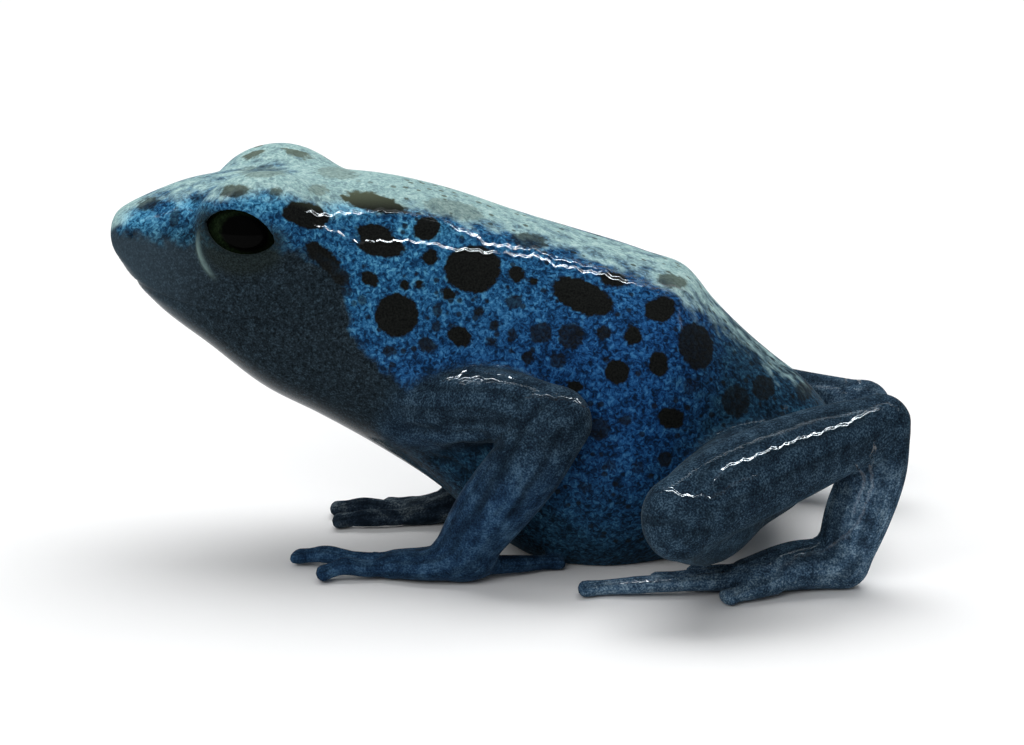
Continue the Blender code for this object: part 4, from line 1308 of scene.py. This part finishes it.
def trunk_colour(m, coarse, lace, grain):
    """Blue flanks under a pale back, partly painted sheen, with a charcoal throat; painted shade
    darkens the rear and the belly, and patches of painted light brighten the front.
    """
    along, height = m.attribute("along"), m.attribute("height")
    ridge, below = m.attribute("above_ridge"), m.attribute("below_edge")
    mixed = m.weigh(lace, LACE_SHARE, coarse)
    dusk_shade, face = m.ramp(mixed, "dusk_shade"), m.ramp(mixed, "face")
    rear = m.math("SUBTRACT", m.times(along, REAR_WEIGHTS[0]), m.times(height, REAR_WEIGHTS[1]))
    # Painted light and shade: lit blue in front and above, shaded blue towards the rear and bottom.
    blue = m.mix(m.fade(rear, *SHADE_AT_REAR), m.ramp(mixed, "lit_blue"), m.ramp(mixed, "shade_blue"))
    off_face = m.add(m.fade(ridge, *FACE_ABOVE), m.fade(along, *FACE_BEHIND))
    blue = m.mix(m.math("MINIMUM", off_face, 1.0), face, blue)
    # Painted shade: the blue darkens to dusk towards the rear and downwards.
    blue = m.mix(m.fade(m.add(along, m.times(coarse, DUSK_SWAY)), *DUSK_BEHIND), blue, dusk_shade)
    blue = m.mix(m.fade(height, *DUSK_BELOW), blue, dusk_shade)

    # The back pales to grey-green above the ridge of the flank, partly its own lighter colour and
    # partly
    #     painted sheen, which alone gives the pale rim of the snout.
    drift = m.add(m.add(ridge, m.swing(coarse, PALE_SWAY)), m.fade(along, *SHEEN_AT_SNOUT))
    blue = m.mix(m.fade(drift, *PALE_ABOVE), blue, m.ramp(mixed, "pale_and_sheen"))
    # Patches of painted light brighten the blue to cyan on the head and front flank.
    blue = m.mix(m.times(m.attribute("lit_cyan"), LIT_CYAN_SHARE), blue, m.ramp(mixed, "lit_cyan"))

    # Charcoal throat and cheek; behind them the lower flank takes the dusk blue of the painted
    # shade.
    charcoal = m.ramp(m.weigh(grain, CHARCOAL_GRAIN, lace), "charcoal")
    charcoal = m.mix(m.fade(along, *GREY_AT_SNOUT), charcoal, SNOUT_GREY)
    under = m.mix(m.fade(along, *CHARCOAL_BEHIND), charcoal, dusk_shade)
    below = m.add(below, m.swing(m.noise(*SHORE), SHORE_SWAY))
    return m.mix(m.fade(below, *CHARCOAL_BELOW), blue, under)


def limb_colour(m, coarse, grain):
    """Slate with long vague stripes, bluer on the forearm, painted lighter as light on the foot, and
    painted nearly black as shade on the far hand, with pale painted highlights.
    """
    slate = m.ramp(m.weigh(grain, SLATE_GRAIN, coarse), "slate")
    for name, share, full in LIMB_COLOURS:
        where = m.times(m.attribute(name), full)
        slate = m.mix(where, slate, m.ramp(m.weigh(grain, share, coarse), name))
    return m.mix(m.stripes(), slate, STRIPE_BLACK)


def spotted(m, colour, grain):
    """Adds black spots with a ragged edge, paled to olive on the back by painted sheen, the eye's
    dark surround, and a pale painted highlight on the lower lid's edge.
    """
    body, below, along = m.attribute("body"), m.attribute("below_edge"), m.attribute("along")
    inside = m.add(m.attribute("spot"), m.swing(m.noise(*RAGGED), SPOT_SWAY))
    spot = m.times(m.fade(inside, *SPOT_EDGE), m.attribute("spot_dark"))
    specks = m.times(m.specks(*SPECKS), m.fade(below, *SPECKS_BELOW))
    specks = m.times(specks, m.times(body, m.fade(along, *SPECKS_BEHIND)))
    # Spots above the ridge are paled to olive: painted sheen over the black.
    black = m.mix(m.fade(m.attribute("above_ridge"), *OLIVE_SHEEN_ABOVE), m.ramp(grain, "black"), OLIVE_SHEEN)
    colour = m.mix(m.math("MAXIMUM", spot, specks), colour, black)
    around = m.times(m.attribute("eye_surround"), SURROUND_SHARE)
    colour = m.mix(around, colour, m.ramp(grain, "eye_surround"))
    # A pale painted highlight along the lower lid's edge.
    return m.mix(m.times(m.attribute("crescent"), LID_HIGHLIGHT_SHARE), colour, LID_HIGHLIGHT_GREY)


def beside_creases(m, aside, near, far):
    """For both lines of creases: 1 nearer than near to the line moved aside, 0 farther than far."""
    found = []
    for name in ("wet_upper", "wet_lower"):
        gap = m.math("ABSOLUTE", m.add(m.attribute(name), aside))
        found.append(m.times(m.attribute(name + "_mask"), m.fade(gap, near, far, 1.0, 0.0)))
    return found


def skin_material():
    """The skin: colours by place, and a film of water beside the creases and on the throat."""
    m = Shader("frog_skin")
    lace, coarse, grain = m.noise(*LACE), m.noise(*COARSE), m.noise(*GRAIN)
    colour = m.mix(m.attribute("body"), limb_colour(m, coarse, grain),
                   trunk_colour(m, coarse, lace, grain))
    # Painted shade: the grooves of shoulder and forearm are darkened.
    colour = m.mix(m.times(m.attribute("groove_shade"), GROOVE_SHADE_SHARE), colour, GROOVE_SHADE_BLACK)
    colour = spotted(m, colour, grain)

    wet = m.math("MAXIMUM", *beside_creases(m, *FILM))
    wet = m.add(wet, m.times(coarse, FILM_CLOUDS))
    wet = m.add(wet, m.times(m.attribute("throat"), THROAT_FILM))
    crests = m.add(*beside_creases(m, *CREST))
    on_feet = m.times(m.noise(*FOOT_CLOUDS), m.attribute("foot"))
    heights = (m.noise(*HIDE_CLOUDS), crests, on_feet, m.noise(*FINE_CLOUDS), grain)
    normal = None
    for height, (strength, depth) in zip(heights, BUMPS):
        normal = m.bump(height, strength, depth, normal)
    m.set(m.surface, Base_Color=colour, Normal=normal, Roughness=0.5, Coat_Weight=wet,
          Coat_Roughness=0.06, Coat_IOR=1.45, Coat_Normal=normal, Sheen_Weight=0.06,
          Sheen_Roughness=0.35, Sheen_Tint=WATER_TINT, Specular_IOR_Level=0.0)
    return m.material


def eye_material():
    """Black pupil, with a dark olive iris that shows at the front of the eye."""
    m = Shader("eye")
    iris = m.ramp(m.noise(*FIBRES), "iris")
    ahead = m.times(m.add(m.attribute("ahead"), PUPIL_BACK), PUPIL_OVAL[0])
    above = m.times(m.attribute("above"), PUPIL_OVAL[1])
    square = m.add(m.math("POWER", ahead, 2.0), m.math("POWER", above, 2.0))
    outside = m.fade(m.math("SQRT", square), *IRIS_EDGE)
    m.set(m.surface, Base_Color=m.mix(outside, PUPIL_BLACK, iris), Roughness=0.25,
          Coat_Weight=0.05, Coat_Roughness=0.03, Specular_IOR_Level=0.0)
    return m.material


# Studio: the floor's half width, the sky's colour and strength, and the soft lamps, each with its
# length and width, place and power.  All sizes are metres.
FLOOR_REACH = 6.0
SKY = (0.95, 0.98, 1.0, 1)
SKY_STRENGTH = 0.25
SOFT_LAMPS = (
    ("soft_top", (0.5, 0.4), (0.0, 0.16, 0.42), 2.2),
    ("soft_front", (0.4, 0.3), (-0.15, -0.40, 0.30), 1.2),
)
SOFT_AIM = (0, 0, 0.01)

# The long narrow lamp that the wet coat mirrors as lines.
LONG_SIZE = (0.9, 0.035)
LONG_PLACE = (0.08, 0.10, 0.37)
LONG_AIM = (0.08, 0, 0.01)
LONG_POWER = 8.0
COOL_WHITE = (0.85, 0.95, 1.0)


def lamp(name, size, place, aim, power, colour=(1, 1, 1)):
    """A rectangular lamp that looks from its place to its aim, all in metres and watts."""
    light = bpy.data.lights.new(name, "AREA")
    light.shape = "RECTANGLE"
    light.size, light.size_y = size
    light.energy = power
    light.color = colour
    obj = linked(name, light)
    obj.location = place
    obj.rotation_euler = (Vector(aim) - Vector(place)).to_track_quat("-Z", "Y").to_euler()
    return obj


def studio():
    """Pale floor, soft light from above and in front, one long lamp seen only in the wet coat."""
    mesh = bpy.data.meshes.new("floor")
    far = FLOOR_REACH
    corners = [(-far, -far, 0), (far, -far, 0), (far, far, 0), (-far, far, 0)]
    mesh.from_pydata(corners, [], [(0, 1, 2, 3)])
    floor = linked("floor", mesh)
    m = Shader("pale_floor")
    m.set(m.surface, Base_Color=m.ramp(m.noise(*PAPER_CLOUDS), "paper"), Roughness=0.8,
          Specular_IOR_Level=0.1)
    mesh.materials.append(m.material)

    world = bpy.data.worlds.new("studio")
    world.use_nodes = True
    sky = world.node_tree.nodes["Background"].inputs
    sky["Color"].default_value = SKY
    sky["Strength"].default_value = SKY_STRENGTH
    bpy.context.scene.world = world
    bpy.context.scene.view_settings.view_transform = "Standard"
    for name, size, place, power in SOFT_LAMPS:
        lamp(name, size, place, SOFT_AIM, power).visible_glossy = False
    long_lamp = lamp("tube_far", LONG_SIZE, LONG_PLACE, LONG_AIM, LONG_POWER, COOL_WHITE)
    long_lamp.visible_diffuse = False


def camera():
    """The camera that sees the frog as the photograph does."""
    place, right, up, forward = camera_axes()
    data = bpy.data.cameras.new("camera")
    data.sensor_width = SENSOR
    data.lens = FOCUS_PIXELS * SENSOR / IMAGE_WIDTH
    obj = linked("camera", data)
    turn = Matrix((right, up, -forward)).transposed().to_4x4()
    obj.matrix_world = Matrix.Translation(Vector((place - CENTRE) * MM)) @ turn
    bpy.context.scene.camera = obj


def main():
    """Dresses the frame, measuring its box first to hold the skin inside it."""
    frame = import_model()
    cad_box = [[float(v) for v in corner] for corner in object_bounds()]
    pieces = limbs()
    hide = skin(pieces, cad_box)
    hide.data.materials.append(skin_material())
    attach(hide, "root")
    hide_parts(*(name for name in frame["nodes"] if not name.startswith("eye")))
    glossy = eye_material()
    for name, side in (("left", -1), ("right", 1)):
        ball = eyeball(f"eyeball_{name}", side)
        ball.data.materials.append(glossy)
        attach(ball, "root")
        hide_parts(f"eye_{name}")
    studio()
    camera()


main()
